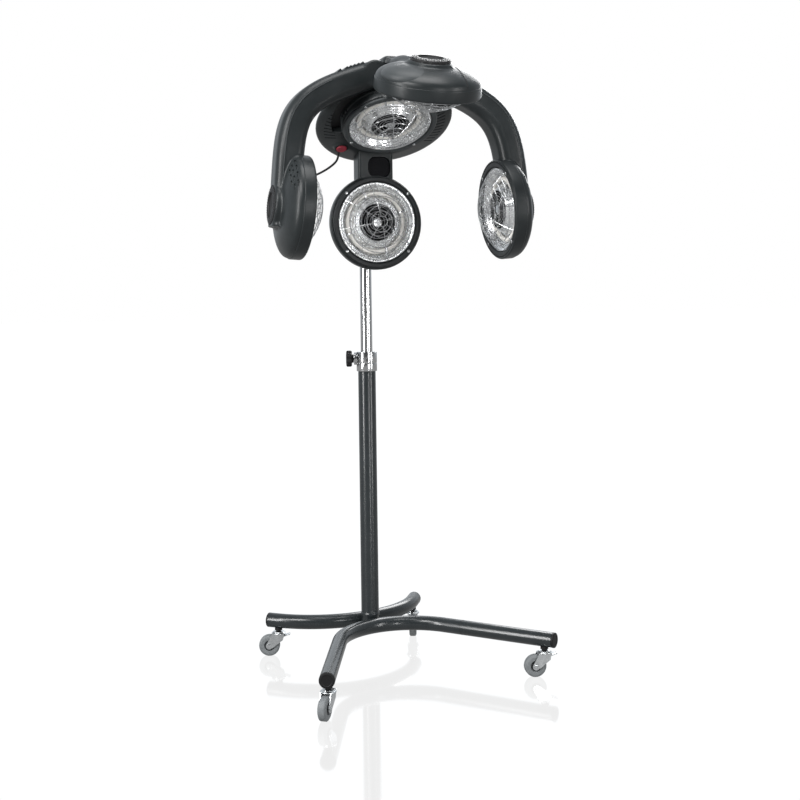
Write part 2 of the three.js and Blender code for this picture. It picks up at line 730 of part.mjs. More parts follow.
function fanMotor() {
  return union(
    rod(MOTOR_DIAMETER, [0, 0, -MOTOR_DEPTH - MOTOR_LENGTH], [0, 0, -MOTOR_DEPTH], 16),
    rod(SHAFT_DIAMETER, [0, 0, -MOTOR_DEPTH - 1], [0, 0, -MOTOR_DEPTH + SHAFT_STICKOUT], 10),
  );
}

// Lamp head shells in the lamp's own frame
function arcPoints(radius, rimDepth, apexDepth, steps) {
  const points = [];
  for (let i = 0; i < steps; i += 1) {
    const angle = Math.PI / 2 * i / steps;
    points.push([radius * Math.cos(angle), -rimDepth - (apexDepth - rimDepth) * Math.sin(angle)]);
  }
  points.push([0, -apexDepth]);
  return points;
}

function domeOutside(rimDiameter, rimFront) {
  const rim = rimDiameter / 2;
  return turned([
    [0, rimFront],
    [rim, rimFront],
    [rim, -RIM_DEPTH],
    [rim - RIM_STEP, -RIM_DEPTH],
    ...arcPoints(rim - RIM_STEP, RIM_DEPTH + RIM_STEP, DOME_DEPTH, DOME_STEPS),
  ]);
}

// What is hollowed out of every head: the bezel's seat, the lamp's space, and round the motor's boss.
function lampCavity() {
  const [recess, mouth, wide] = [BEZEL_DIAMETER / 2 + FIT, SEAT_BORE / 2, CAVITY_DIAMETER / 2];
  const floor = DOME_DEPTH - SHELL_WALL;
  const boss = MOTOR_BOSS_DIAMETER / 2;
  const inside = arcPoints(wide, RIM_DEPTH, floor, DOME_STEPS).filter(([radius]) => radius > boss);
  return turned([
    [0, RIM_DEPTH],
    [recess, RIM_DEPTH],
    [recess, -seatDepth],
    [mouth, -seatDepth],
    [mouth, -seatDepth - SEAT_THICKNESS],
    [wide, -seatDepth - SEAT_THICKNESS],
    ...inside,
    [boss, -floor],
    [boss, -MOTOR_DEPTH - MOTOR_LENGTH - FIT],
    [0, -MOTOR_DEPTH - MOTOR_LENGTH - FIT],
  ]);
}

// The raised round vent on a head's back, and what is cut out of it.
function ventPad(raise) {
  const [rim, foot] = [VENT_DIAMETER / 2 + VENT_RIM, VENT_DIAMETER / 2 + 2 * VENT_RIM];
  const back = -DOME_DEPTH - raise;
  return turned([
    [0, back],
    [rim - VENT_RIM / 2, back],
    [rim, back + VENT_RIM / 2],
    [foot, -RIM_DEPTH - VENT_RIM],
    [0, -RIM_DEPTH - VENT_RIM],
  ]);
}

function ventCuts(raise) {
  const back = -DOME_DEPTH - raise;
  const cuts = [rod(VENT_DIAMETER, [0, 0, back - 1], [0, 0, back + VENT_RECESS])];
  for (let i = 0; i < VENT_SLOTS; i += 1) {
    const slot = block(
      [VENT_SLOT_RADIUS - VENT_SLOT_WIDTH / 2, -VENT_SLOT_LENGTH / 2, back],
      [VENT_SLOT_RADIUS + VENT_SLOT_WIDTH / 2, VENT_SLOT_LENGTH / 2, -DOME_DEPTH + 3 * SHELL_WALL],
    );
    cuts.push(slot.rotateZ(2 * Math.PI * (i + 1 / 2) / VENT_SLOTS));
  }
  return cuts;
}

// Frames of the five heads
function headFrame(position, rotation) {
  const frame = new THREE.Group();
  frame.position.set(...position);
  frame.rotation.set(...rotation.map(radians));
  frame.updateMatrix();
  return frame;
}

const hood = new THREE.Group();
const heads = {
  crown: headFrame([0, CROWN_Y, CROWN_Z], [180 - CROWN_TILT, 0, 0]),
  nape: headFrame([0, NAPE_Y, NAPE_Z], [90, 0, 0]),
  left: headFrame([-SIDE_X, SIDE_Y, SIDE_Z], [0, 90 + SIDE_TILT, 0]),
  right: headFrame([SIDE_X, SIDE_Y, SIDE_Z], [0, -90 - SIDE_TILT, 0]),
  front: headFrame([0, FRONT_Y, FRONT_Z], [180 + FRONT_TILT, 0, 0]),
};

function inHead(name, geometry) {
  return geometry.clone().applyMatrix4(heads[name].matrix);
}

function pointInHead(name, x, y, z) {
  return new THREE.Vector3(x, y, z).applyMatrix4(heads[name].matrix);
}

function directionInHead(name, x, y, z) {
  return new THREE.Vector3(x, y, z).transformDirection(heads[name].matrix);
}

// Side arms. sign is -1 for the left arm and 1 for the right one.
function armLine(sign) {
  const side = sign > 0 ? 'right' : 'left';
  const back = DOME_DEPTH + ARM_RAISE - ARM_THICKNESS / 2;
  const start = new THREE.Vector3(sign * ARM_PIVOT_X, ARM_PIVOT_Y, ARM_PIVOT_Z);
  const slope = radians(ARM_ROOT_SLOPE);
  const away = new THREE.Vector3(sign * Math.cos(slope), 0, -Math.sin(slope));
  const over = pointInHead(side, 0, 0, -back);
  const down = directionInHead(side, sign > 0 ? -1 : 1, 0, 0);
  const line = new THREE.CurvePath();
  line.add(new THREE.CubicBezierCurve3(
    start,
    start.clone().addScaledVector(away, ARM_ROOT_PULL),
    over.clone().addScaledVector(down, -ARM_END_PULL),
    over,
  ));
  line.add(new THREE.LineCurve3(over, over.clone().addScaledVector(down, ARM_TAIL)));
  return line;
}

function armSweep(sign, extra) {
  const section = roundedRectangle(ARM_WIDTH + 2 * extra, ARM_THICKNESS + 2 * extra, ARM_CORNER + extra);
  return swept(section, armLine(sign), ARM_STEPS, 2);
}

// The bore that a turned piece clears at every angle, both having flats.
function turningBore(diameter) {
  return diameter / Math.cos(Math.PI / LATHE_SIDES) + 2 * FIT;
}

function armAxle(sign, diameter, halfWidth, sides) {
  const x = sign * ARM_PIVOT_X;
  return rod(diameter, [x, ARM_PIVOT_Y - halfWidth, ARM_PIVOT_Z], [x, ARM_PIVOT_Y + halfWidth, ARM_PIVOT_Z], sides);
}

// The part of a hinge's fork that lies on the hub's side of the pin.
function armForkMouth(sign) {
  const half = ARM_TONGUE_WIDTH / 2 + FIT;
  const reach = ARM_THICKNESS;
  const [near, far] = [sign * ARM_PIVOT_X, sign * (ARM_PIVOT_X - reach)];
  return block(
    [Math.min(near, far), ARM_PIVOT_Y - half, ARM_PIVOT_Z - reach],
    [Math.max(near, far), ARM_PIVOT_Y + half, ARM_PIVOT_Z + reach],
  );
}

function armRibs(sign) {
  const line = armLine(sign);
  const ribs = [];
  for (let i = 0; i < ARM_RIBS; i += 1) {
    const at = (ARM_RIB_START + i * ARM_RIB_PITCH) / line.getLength();
    const point = line.getPointAt(at);
    const tangent = line.getTangentAt(at);
    const rib = block(
      [-ARM_RIB_WIDTH / 2, -ARM_RIB_LENGTH / 2, ARM_THICKNESS / 2 - 2 * ARM_RIB_HEIGHT],
      [ARM_RIB_WIDTH / 2, ARM_RIB_LENGTH / 2, ARM_THICKNESS / 2 + ARM_RIB_HEIGHT],
    );
    rib.rotateY(Math.atan2(-sign * tangent.z, sign * tangent.x));
    ribs.push(rib.translate(...point.toArray()));
  }
  return ribs;
}

function sideArm(sign, extraCuts) {
  const side = sign > 0 ? 'right' : 'left';
  const shell = union(
    inHead(side, domeOutside(RIM_DIAMETER, 0)),
    inHead(side, ventPad(ARM_RAISE)),
    armSweep(sign, 0),
    armAxle(sign, ARM_THICKNESS, ARM_WIDTH / 2),
    ...armRibs(sign),
  );
  const open = cut(
    shell,
    inHead(side, lampCavity()),
    ...ventCuts(ARM_RAISE).map((geometry) => inHead(side, geometry)),
    armAxle(sign, turningBore(ARM_TONGUE_DIAMETER), ARM_TONGUE_WIDTH / 2 + FIT),
    armForkMouth(sign),
    ...extraCuts,
  );
  return open.add(toSolid(armAxle(sign, ARM_PIN_DIAMETER, ARM_WIDTH / 2 - PIN_SINK, PIN_SIDES)));
}

// Front strap over the front head
function strapLine() {
  const back = DOME_DEPTH + STRAP_RAISE - STRAP_THICKNESS / 2;
  const start = new THREE.Vector3(0, STRAP_PIVOT_Y, STRAP_PIVOT_Z);
  const over = pointInHead('front', 0, 0, -back);
  const ahead = directionInHead('front', 0, 1, 0);
  const line = new THREE.CurvePath();
  line.add(new THREE.CubicBezierCurve3(
    start,
    start.clone().add(new THREE.Vector3(0, -STRAP_PULL, 0)),
    over.clone().addScaledVector(ahead, -STRAP_PULL),
    over,
  ));
  line.add(new THREE.LineCurve3(over, over.clone().addScaledVector(ahead, STRAP_TAIL)));
  return line;
}

function strapAxle(diameter, halfWidth, sides) {
  const [y, z] = [STRAP_PIVOT_Y, STRAP_PIVOT_Z];
  return rod(diameter, [-halfWidth, y, z], [halfWidth, y, z], sides);
}

function frontArm() {
  const shell = union(
    inHead('front', domeOutside(RIM_DIAMETER, 0)),
    inHead('front', ventPad(STRAP_RAISE)),
    swept(roundedRectangle(STRAP_WIDTH, STRAP_THICKNESS, STRAP_CORNER), strapLine(), STRAP_STEPS, 2),
    strapAxle(STRAP_THICKNESS, STRAP_WIDTH / 2),
  );
  const half = STRAP_TONGUE_WIDTH / 2 + FIT;
  const mouth = block(
    [-half, STRAP_PIVOT_Y, STRAP_PIVOT_Z - STRAP_THICKNESS],
    [half, STRAP_PIVOT_Y + STRAP_THICKNESS, STRAP_PIVOT_Z + STRAP_THICKNESS],
  );
  const open = cut(
    shell,
    inHead('front', lampCavity()),
    ...ventCuts(STRAP_RAISE).map((geometry) => inHead('front', geometry)),
    strapAxle(turningBore(STRAP_TONGUE_DIAMETER), half),
    mouth,
  );
  return open.add(toSolid(strapAxle(STRAP_PIN_DIAMETER, STRAP_WIDTH / 2 - PIN_SINK, PIN_SIDES)));
}

// Crown housing
function dish(extra) {
  const face = -DISH_FACE_DEPTH + extra;
  const edge = -DISH_EDGE_DEPTH + extra;
  const back = -DISH_BACK_DEPTH;
  const rear = edge - DISH_EDGE_WIDTH - extra;
  const radius = DISH_RADIUS + extra;
  const form = turned([
    [0, face],
    [DISH_FACE_RADIUS, face],
    [radius - DISH_BEVEL, edge + DISH_BEVEL / 2],
    [radius, edge],
    [radius, rear],
    [radius - DISH_BEVEL, rear - DISH_BEVEL],
    [radius * DISH_SHOULDER, THREE.MathUtils.lerp(rear, back, DISH_SHOULDER_DROP)],
    [radius * DISH_TOP, THREE.MathUtils.lerp(rear, back, DISH_TOP_DROP)],
    [0, back],
  ], DISH_SIDES);
  return inHead('crown', form.translate(0, -DISH_SHIFT, 0));
}

function crownTube(extra) {
  const radius = BEZEL_DIAMETER / 2 + CROWN_TUBE_WALL + extra;
  return inHead('crown', turned([
    [0, -seatDepth + extra],
    [radius, -seatDepth + extra],
    [radius, -DISH_EDGE_DEPTH],
    [0, -DISH_EDGE_DEPTH],
  ]));
}

function hubBlock() {
  const side = new THREE.Shape();
  const crestEnd = HUB_FRONT + HUB_CREST_LENGTH;
  side.moveTo(HUB_FRONT, HUB_BOTTOM);
  side.lineTo(HUB_FRONT, HUB_TOP - 2 * DISH_BEVEL);
  side.quadraticCurveTo(HUB_FRONT, HUB_TOP, HUB_FRONT + 2 * DISH_BEVEL, HUB_TOP);
  side.lineTo(crestEnd, HUB_TOP);
  side.quadraticCurveTo((crestEnd + HUB_REAR) / 2, HUB_TOP - DISH_BEVEL, HUB_REAR, HUB_REAR_TOP);
  side.lineTo(HUB_REAR, HUB_BOTTOM);
  const hub = new THREE.ExtrudeGeometry(side, {
    depth: HUB_WIDTH - 2 * DISH_BEVEL,
    bevelThickness: DISH_BEVEL,
    bevelSize: DISH_BEVEL,
    bevelOffset: -DISH_BEVEL,
    bevelSegments: 2,
    curveSegments: 6,
  });
  hub.translate(0, 0, DISH_BEVEL - HUB_WIDTH / 2);
  return hub.rotateX(Math.PI / 2).rotateZ(Math.PI / 2);
}

function coolingSlots() {
  const slots = [];
  for (const mirror of [0, 1]) {
    for (let i = 0; i < COOLING_SLOTS; i += 1) {
      const angle = COOLING_SLOT_START + i * COOLING_SLOT_PITCH;
      const outer = DISH_RADIUS - DISH_BEVEL;
      const slope = Math.atan2(DISH_EDGE_DEPTH - DISH_FACE_DEPTH - DISH_BEVEL / 2, outer - DISH_FACE_RADIUS);
      const middle = (outer + DISH_FACE_RADIUS) / 2;
      const slot = block(
        [-COOLING_SLOT_LENGTH / 2, -COOLING_SLOT_WIDTH / 2, -COOLING_SLOT_DEPTH],
        [COOLING_SLOT_LENGTH / 2, COOLING_SLOT_WIDTH / 2, COOLING_SLOT_DEPTH],
      );
      const depth = (DISH_FACE_DEPTH + DISH_EDGE_DEPTH - DISH_BEVEL / 2) / 2;
      slot.rotateY(slope).translate(middle, 0, -depth);
      slot.rotateZ(radians(mirror ? 180 - angle : angle));
      slots.push(inHead('crown', slot.translate(0, -DISH_SHIFT, 0)));
    }
  }
  return slots;
}

function switchSpot(diameter, from, to, sides) {
  return inHead('crown', rod(diameter, [SWITCH_X, SWITCH_Y, from], [SWITCH_X, SWITCH_Y, to], sides));
}

const switchFace = -DISH_FACE_DEPTH;

function powerSwitch() {
  const [back, front] = [switchFace - SWITCH_BODY + SWITCH_TRAVEL, switchFace + SWITCH_PROUD];
  return toSolid(switchSpot(SWITCH_DIAMETER, back, front, SWITCH_SIDES));
}

// A hinge's tongue on the hub, with the link that carries it.
function armTongue(sign) {
  const half = ARM_TONGUE_WIDTH / 2;
  const x = sign * ARM_PIVOT_X;
  return [
    armAxle(sign, ARM_TONGUE_DIAMETER, half),
    block(
      [Math.min(0, x), ARM_PIVOT_Y - half, ARM_PIVOT_Z - ARM_LINK_HEIGHT / 2],
      [Math.max(0, x), ARM_PIVOT_Y + half, ARM_PIVOT_Z + ARM_LINK_HEIGHT / 2],
    ),
  ];
}

function strapTongue() {
  const half = STRAP_TONGUE_WIDTH / 2;
  return [
    strapAxle(STRAP_TONGUE_DIAMETER, half),
    block(
      [-half, STRAP_PIVOT_Y, STRAP_PIVOT_Z - STRAP_LINK_HEIGHT / 2],
      [half, HUB_FRONT + HUB_CREST_LENGTH, STRAP_PIVOT_Z + STRAP_LINK_HEIGHT / 2],
    ),
  ];
}

function crownHousing(extraCuts) {
  const blank = union(
    dish(0),
    crownTube(0),
    hubBlock(),
    switchSpot(SWITCH_BOSS_DIAMETER, -DISH_EDGE_DEPTH - DISH_EDGE_WIDTH, switchFace, SWITCH_SIDES),
  );
  const pocketed = cut(
    blank,
    inHead('crown', lampCavity()),
    armSweep(1, ARM_GAP),
    armSweep(-1, ARM_GAP),
    armAxle(1, ARM_THICKNESS + 2 * ARM_GAP, ARM_WIDTH / 2 + ARM_GAP),
    armAxle(-1, ARM_THICKNESS + 2 * ARM_GAP, ARM_WIDTH / 2 + ARM_GAP),
    strapAxle(STRAP_THICKNESS + 2 * ARM_GAP, STRAP_WIDTH / 2 + ARM_GAP),
    switchSpot(SWITCH_DIAMETER + 2 * FIT, switchFace - SWITCH_BODY - FIT, switchFace + FIT, SWITCH_SIDES),
    ...coolingSlots(),
    ...extraCuts,
  );
  const tongues = [...armTongue(1), ...armTongue(-1), ...strapTongue()].map(toSolid);
  const hinged = tongues.reduce((sum, solid) => sum.add(solid), pocketed);
  const pinFit = 2 * FIT;
  return cut(
    hinged,
    armAxle(1, ARM_PIN_DIAMETER + pinFit, ARM_WIDTH / 2, PIN_SIDES),
    armAxle(-1, ARM_PIN_DIAMETER + pinFit, ARM_WIDTH / 2, PIN_SIDES),
    strapAxle(STRAP_PIN_DIAMETER + pinFit, STRAP_WIDTH / 2, PIN_SIDES),
  );
}

// Nape housing
function coverOutline(extra) {
  const outline = roundedRectangle(COVER_WIDTH + 2 * extra, COVER_HEIGHT + 2 * extra, COVER_CORNER + extra);
  const plate = new THREE.ExtrudeGeometry(outline, {
    depth: COVER_THICKNESS + 2 * extra + (extra ? COVER_RECESS + 1 : 0),
    bevelEnabled: false,
    curveSegments: 4,
  });
  const floor = NECK_FRONT + COVER_RECESS + COVER_THICKNESS;
  plate.rotateX(Math.PI / 2);
  return plate.translate(COVER_X, floor + extra, (COVER_TOP + COVER_BOTTOM) / 2);
}

function napeHousing() {
  const socketTop = POLE_TOP + SOCKET_CROWN;
  const blank = union(
    inHead('nape', domeOutside(NAPE_RIM_DIAMETER, -seatDepth)),
    block([-NECK_WIDTH / 2, NECK_FRONT, NECK_BOTTOM], [NECK_WIDTH / 2, NECK_BACK, NECK_TOP]),
    rod(SOCKET_DIAMETER, [0, 0, SOCKET_BOTTOM], [0, 0, socketTop]),
    block(
      [-SOCKET_WEB_WIDTH / 2, (NECK_FRONT + NECK_BACK) / 2, SOCKET_BOTTOM + SOCKET_WEB_RISE],
      [SOCKET_WEB_WIDTH / 2, 0, socketTop],
    ),
  );
  return cut(
    blank,
    inHead('nape', lampCavity()),
    rod(POLE_DIAMETER + 2 * FIT, [0, 0, SOCKET_BOTTOM - 1], [0, 0, POLE_TOP + FIT]),
    dish(FIT),
    crownTube(FIT),
    switchSpot(SWITCH_BOSS_DIAMETER + 2 * FIT, -DISH_EDGE_DEPTH, switchFace + FIT, SWITCH_SIDES),
    coverOutline(FIT),
  );
}

// Control cable, and the holes it enters by
function cable(diameter, extra) {
  const points = CABLE_ROUTE.map(([x, y, z]) => new THREE.Vector3(x, CROWN_Y + y, CROWN_Z + z));
  const reach = (end, inner) => end.clone().sub(inner).setLength(extra);
  const [first, last] = [points[0], points[points.length - 1]];
  first.add(reach(first, points[1]));
  last.add(reach(last, points[points.length - 2]));
  const line = new THREE.CatmullRomCurve3(points);
  return swept(disc(diameter), line, CABLE_STEPS, 4);
}

// Assembly
const object = new THREE.Group();
const base = new THREE.Group();
base.rotation.z = radians(BASE_YAW);
object.add(base);
object.add(hood);

const frontLine = new LegLine(FRONT_BEND_RADIUS, FRONT_BEND_HALF_ANGLE, FRONT_STRAIGHT);
const rearLine = new LegLine(REAR_BEND_RADIUS, REAR_BEND_HALF_ANGLE, REAR_STRAIGHT);
const rearGroup = new THREE.Group();
rearGroup.rotation.z = Math.PI;
base.add(rearGroup);
piece(base, 'front_leg_tube', legTube(frontLine), greyPaint);
piece(rearGroup, 'rear_leg_tube', legTube(rearLine), greyPaint);

const [frontEnd, rightEnd] = legEnds(frontLine);
const [rearEnd, leftEnd] = legEnds(rearLine);
const legs = [
  ['front', base, frontEnd, 0],
  ['right', base, rightEnd, 0],
  ['left', rearGroup, leftEnd, 180],
  ['rear', rearGroup, rearEnd, 180],
];
for (const [name, group, end, turn] of legs) {
  piece(group, `${name}_leg_end_cap`, endCap(end), blackPlastic);
  const caster = new THREE.Group();
  caster.position.set(end.stem.x, end.stem.y, 0);
  caster.rotation.z = radians(CASTER_YAW[name] - turn);
  group.add(caster);
  piece(caster, `${name}_caster_fork`, casterFork(), brightSteel);
  piece(caster, `${name}_caster_wheel`, casterWheel(), greyRubber);
  piece(caster, `${name}_caster_brake`, brakePedal(), brightSteel);
}

piece(object, 'column', column(), greyPaint);
const clamp = new THREE.Group();
clamp.rotation.z = radians(KNOB_YAW);
object.add(clamp);
piece(clamp, 'clamp_collar', clampCollar(), chrome);
piece(clamp, 'clamp_knob', clampKnob(), blackPlastic);
piece(object, 'pole', pole(), chrome);

const cableHole = cable(CABLE_DIAMETER + 2 * FIT, CABLE_SINK + FIT);
piece(hood, 'crown_housing', crownHousing([cableHole]), charcoalPlastic);
piece(hood, 'nape_housing', napeHousing(), charcoalPlastic);
piece(hood, 'left_arm', sideArm(-1, [cableHole]), charcoalPlastic);
piece(hood, 'right_arm', sideArm(1, []), charcoalPlastic);
piece(hood, 'front_arm', frontArm(), charcoalPlastic);
piece(hood, 'neck_cover', toSolid(coverOutline(0)), blackGloss);
piece(hood, 'power_switch', powerSwitch(), redPlastic);
piece(hood, 'control_cable', toSolid(cable(CABLE_DIAMETER, CABLE_SINK)), blackPlastic);

for (const [name, frame] of Object.entries(heads)) {
  hood.add(frame);
  piece(frame, `${name}_bezel`, bezel(), darkPlastic);
  piece(frame, `${name}_reflector`, reflector(), mirrorAluminium);
  piece(frame, `${name}_ring_lamp`, ringLamp(), frostedQuartz);
  piece(frame, `${name}_wire_guard`, wireGuard(), brightSteel);
  piece(frame, `${name}_fan`, fan(), blackPlastic);
  piece(frame, `${name}_fan_motor`, fanMotor(), blackPlastic);
}

// The origin is on the floor, under the middle of the whole object.
const part = new THREE.Group();
part.add(object);
part.updateMatrixWorld(true);
const extent = new THREE.Box3().setFromObject(part, true);
const middle = extent.getCenter(new THREE.Vector3());
object.position.set(-middle.x, -middle.y, -extent.min.z);
part.updateMatrixWorld(true);

export default part;
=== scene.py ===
import math

import bmesh
import bpy
from mathutils import Matrix, Vector


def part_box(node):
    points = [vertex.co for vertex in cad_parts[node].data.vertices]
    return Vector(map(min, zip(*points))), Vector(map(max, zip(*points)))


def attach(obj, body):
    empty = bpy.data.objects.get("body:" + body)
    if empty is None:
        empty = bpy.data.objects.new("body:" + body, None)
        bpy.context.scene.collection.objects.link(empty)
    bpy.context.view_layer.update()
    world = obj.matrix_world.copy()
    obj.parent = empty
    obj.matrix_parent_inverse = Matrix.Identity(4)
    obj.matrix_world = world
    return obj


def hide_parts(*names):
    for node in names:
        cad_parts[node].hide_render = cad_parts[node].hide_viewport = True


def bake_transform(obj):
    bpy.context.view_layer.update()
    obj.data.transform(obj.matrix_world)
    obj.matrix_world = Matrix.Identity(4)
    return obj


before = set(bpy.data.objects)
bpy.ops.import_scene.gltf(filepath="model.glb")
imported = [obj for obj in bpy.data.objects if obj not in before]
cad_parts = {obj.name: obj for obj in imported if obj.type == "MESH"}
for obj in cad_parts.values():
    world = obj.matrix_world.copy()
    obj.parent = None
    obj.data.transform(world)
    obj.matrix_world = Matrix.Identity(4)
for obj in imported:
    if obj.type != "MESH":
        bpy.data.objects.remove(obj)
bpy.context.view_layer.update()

# Lengths are in millimetres, in the hood's frame: the column's axis is X = Y = 0, and the hood opens
# towards -Y.
MM = 0.001


def shift(x, y, z):
    return Matrix.Translation((x, y, z))


def turn(degrees, axis):
    return Matrix.Rotation(math.radians(degrees), 4, axis)


def column_axis():
    low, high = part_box("column")
    return Vector(((low.x + high.x) / 2, (low.y + high.y) / 2, 0))


HOOD = Matrix.Translation(column_axis()) @ Matrix.Scale(MM, 4)
BASE_YAW = 10.4
BASE = HOOD @ turn(BASE_YAW, "Z")
ALONG_X = turn(90, "Y")
ALONG_Y = turn(-90, "X")

# A lamp's own frame: +Z is the way it shines, from the bezel's front plane.
HEADS = {
    "crown": HOOD @ shift(0, -212, 1244) @ turn(152, "X"),
    "nape": HOOD @ shift(0, -105, 1036) @ turn(90, "X"),
    "left": HOOD @ shift(-220, -294, 1054) @ turn(94.5, "Y"),
    "right": HOOD @ shift(220, -294, 1054) @ turn(-94.5, "Y"),
    "front": HOOD @ shift(0, -461, 1280) @ turn(201, "X"),
}


def in_hood(name):
    """A lamp's frame, in the hood's millimetres."""
    return HOOD.inverted() @ HEADS[name]


# Materials

NOISE_RANGE = (0.3, 0.7)
CLOUD_DETAIL = 4
GRAIN_DETAIL = 3
RELIEF_DEPTH = 0.0005
COAT_ROUGHNESS = 0.12


def new_material(name):
    material = bpy.data.materials.new(name)
    material.use_nodes = True
    nodes, links = material.node_tree.nodes, material.node_tree.links
    return material, nodes, links, nodes["Principled BSDF"]


def noise(nodes, links, scale, detail):
    place = nodes.new("ShaderNodeTexCoord")
    texture = nodes.new("ShaderNodeTexNoise")
    texture.inputs["Scale"].default_value = scale
    texture.inputs["Detail"].default_value = detail
    links.new(place.outputs["Object"], texture.inputs["Vector"])
    return texture.outputs["Fac"]


def scaled(nodes, links, value, old, new):
    scale = nodes.new("ShaderNodeMapRange")
    scale.inputs["From Min"].default_value, scale.inputs["From Max"].default_value = old
    scale.inputs["To Min"].default_value, scale.inputs["To Max"].default_value = new
    links.new(value, scale.inputs["Value"])
    return scale.outputs["Result"]


def surface(name, dark, light, rough, metallic=0.0, blotch=30, grain=900, bump=0.05, coat=0.0, specular=0.5):
    """A finish whose colour drifts between two tones, with a grain in its roughness and bump."""
    material, nodes, links, shader = new_material(name)
    cloud = noise(nodes, links, blotch, CLOUD_DETAIL)
    mix = nodes.new("ShaderNodeMix")
    mix.data_type = "RGBA"
    mix.inputs["A"].default_value = (*dark, 1)
    mix.inputs["B"].default_value = (*light, 1)
    links.new(scaled(nodes, links, cloud, NOISE_RANGE, (0, 1)), mix.inputs["Factor"])
    links.new(mix.outputs["Result"], shader.inputs["Base Color"])
    fine = noise(nodes, links, grain, GRAIN_DETAIL)
    links.new(scaled(nodes, links, fine, NOISE_RANGE, rough), shader.inputs["Roughness"])
    relief = nodes.new("ShaderNodeBump")
    relief.inputs["Strength"].default_value = bump
    relief.inputs["Distance"].default_value = RELIEF_DEPTH
    links.new(fine, relief.inputs["Height"])
    links.new(relief.outputs["Normal"], shader.inputs["Normal"])
    shader.inputs["Metallic"].default_value = metallic
    shader.inputs["Coat Weight"].default_value = coat
    shader.inputs["Coat Roughness"].default_value = COAT_ROUGHNESS
    shader.inputs["Specular IOR Level"].default_value = specular
    return material


CHARCOAL = surface("charcoal_plastic", (0.012, 0.0145, 0.0155), (0.017, 0.020, 0.021), (0.30, 0.40),
                   bump=0.12, specular=0.24)
# Satin plastic of the wheel discs. The same lighter grey is painted light on dark and charcoal pieces: the
# crown's bezel, the arms' edge beads and the front lobe.
SATIN_AND_PAINTED_LIGHT = surface("satin_plastic_and_painted_light", (0.030, 0.034, 0.036), (0.038, 0.043, 0.045), (0.42, 0.54),
                bump=0.2, specular=0.3)
# Dark plastic of the lamp bezels. The same darker grey is painted shade on the hub's charcoal tongues inside
# the arms' hinge slots.
DARK_AND_SHADE = surface("dark_plastic", (0.009, 0.0105, 0.0115), (0.013, 0.0155, 0.0165), (0.36, 0.48),
               bump=0.12, specular=0.24)
# Black plastic. The same black is painted shade on the plate at the bottom of the crown's recess.
BLACK_AND_SHADE = surface("black_plastic", (0.003, 0.003, 0.0035), (0.005, 0.005, 0.0055), (0.5, 0.65),
                bump=0.15, specular=0.3)
GLOSS = surface("black_gloss", (0.004, 0.004, 0.005), (0.006, 0.006, 0.007), (0.08, 0.14), bump=0.02)
RED = surface("red_plastic", (0.17, 0.008, 0.020), (0.23, 0.012, 0.026), (0.3, 0.4), bump=0.04)
RUBBER = surface("black_rubber", (0.008, 0.008, 0.009), (0.013, 0.013, 0.014), (0.55, 0.7), bump=0.15)
PAINT = surface("grey_paint", (0.015, 0.0185, 0.020), (0.020, 0.024, 0.026), (0.22, 0.30),
                grain=500, bump=0.04, coat=0.15, specular=0.36)
CHROME = surface("chrome", (0.43, 0.435, 0.44), (0.50, 0.505, 0.51), (0.15, 0.21), metallic=1, bump=0.01)
WIRE = surface("bright_wire", (0.54, 0.55, 0.56), (0.64, 0.65, 0.66), (0.22, 0.32), metallic=1, bump=0.03)
MIRROR = surface("bright_aluminium", (0.82, 0.83, 0.84), (0.93, 0.94, 0.95), (0.2, 0.34),
                 metallic=1, blotch=90, grain=140, bump=0.9)
ZINC = surface("zinc_steel", (0.52, 0.54, 0.55), (0.66, 0.68, 0.69), (0.24, 0.38),
               metallic=1, blotch=90, grain=400, bump=0.06)
WHEEL = surface("grey_rubber", (0.13, 0.14, 0.145), (0.17, 0.18, 0.185), (0.6, 0.75), blotch=120, bump=0.2)
LAMP = surface("lamp_glass", (0.72, 0.70, 0.66), (0.82, 0.80, 0.76), (0.12, 0.2), blotch=80, bump=0.02)


# Mesh building. A form is a pair of vertices and faces, in millimetres. A profile is a list of radius
# and height pairs.

AXIS_RADIUS = 1e-6
CORNER_SHARE = 0.45
BEVEL_SEGMENTS = 3
SMOOTH_ANGLE = math.radians(32)
VOXEL = 2.4
SMOOTH_FACTOR = 0.5
WELD_METRES = 1e-7
SLIVER_METRES = 2e-5


def polar(radius, angle):
    return radius * math.cos(angle), radius * math.sin(angle)


def all_round(count):
    return [2 * math.pi * k / count for k in range(count)]


def rod(radius, low, high):
    """The profile of a solid cylinder."""
    return [(0, low), (radius, low), (radius, high), (0, high)]


def pipe(inner, outer, low, high):
    """The profile of a hollow cylinder, for a ring."""
    return [(inner, low), (outer, low), (outer, high), (inner, high)]


def lathe(profile, sides=96, ring=False):
    """A profile turned about Z. A ring's profile closes on itself."""
    vertices, rows = [], []
    for radius, height in profile:
        if radius < AXIS_RADIUS:
            rows.append([len(vertices)] * sides)
            vertices.append((0, 0, height))
            continue
        start = len(vertices)
        rows.append(list(range(start, start + sides)))
        vertices.extend((*polar(radius, angle), height) for angle in all_round(sides))
    pairs = list(zip(rows, rows[1:]))
    if ring:
        pairs.append((rows[-1], rows[0]))
    faces = []
    for low, high in pairs:
        for i in range(sides):
            j = (i + 1) % sides
            corners = list(dict.fromkeys((low[i], low[j], high[j], high[i])))
            if len(corners) > 2:
                faces.append(corners)
    return vertices, faces


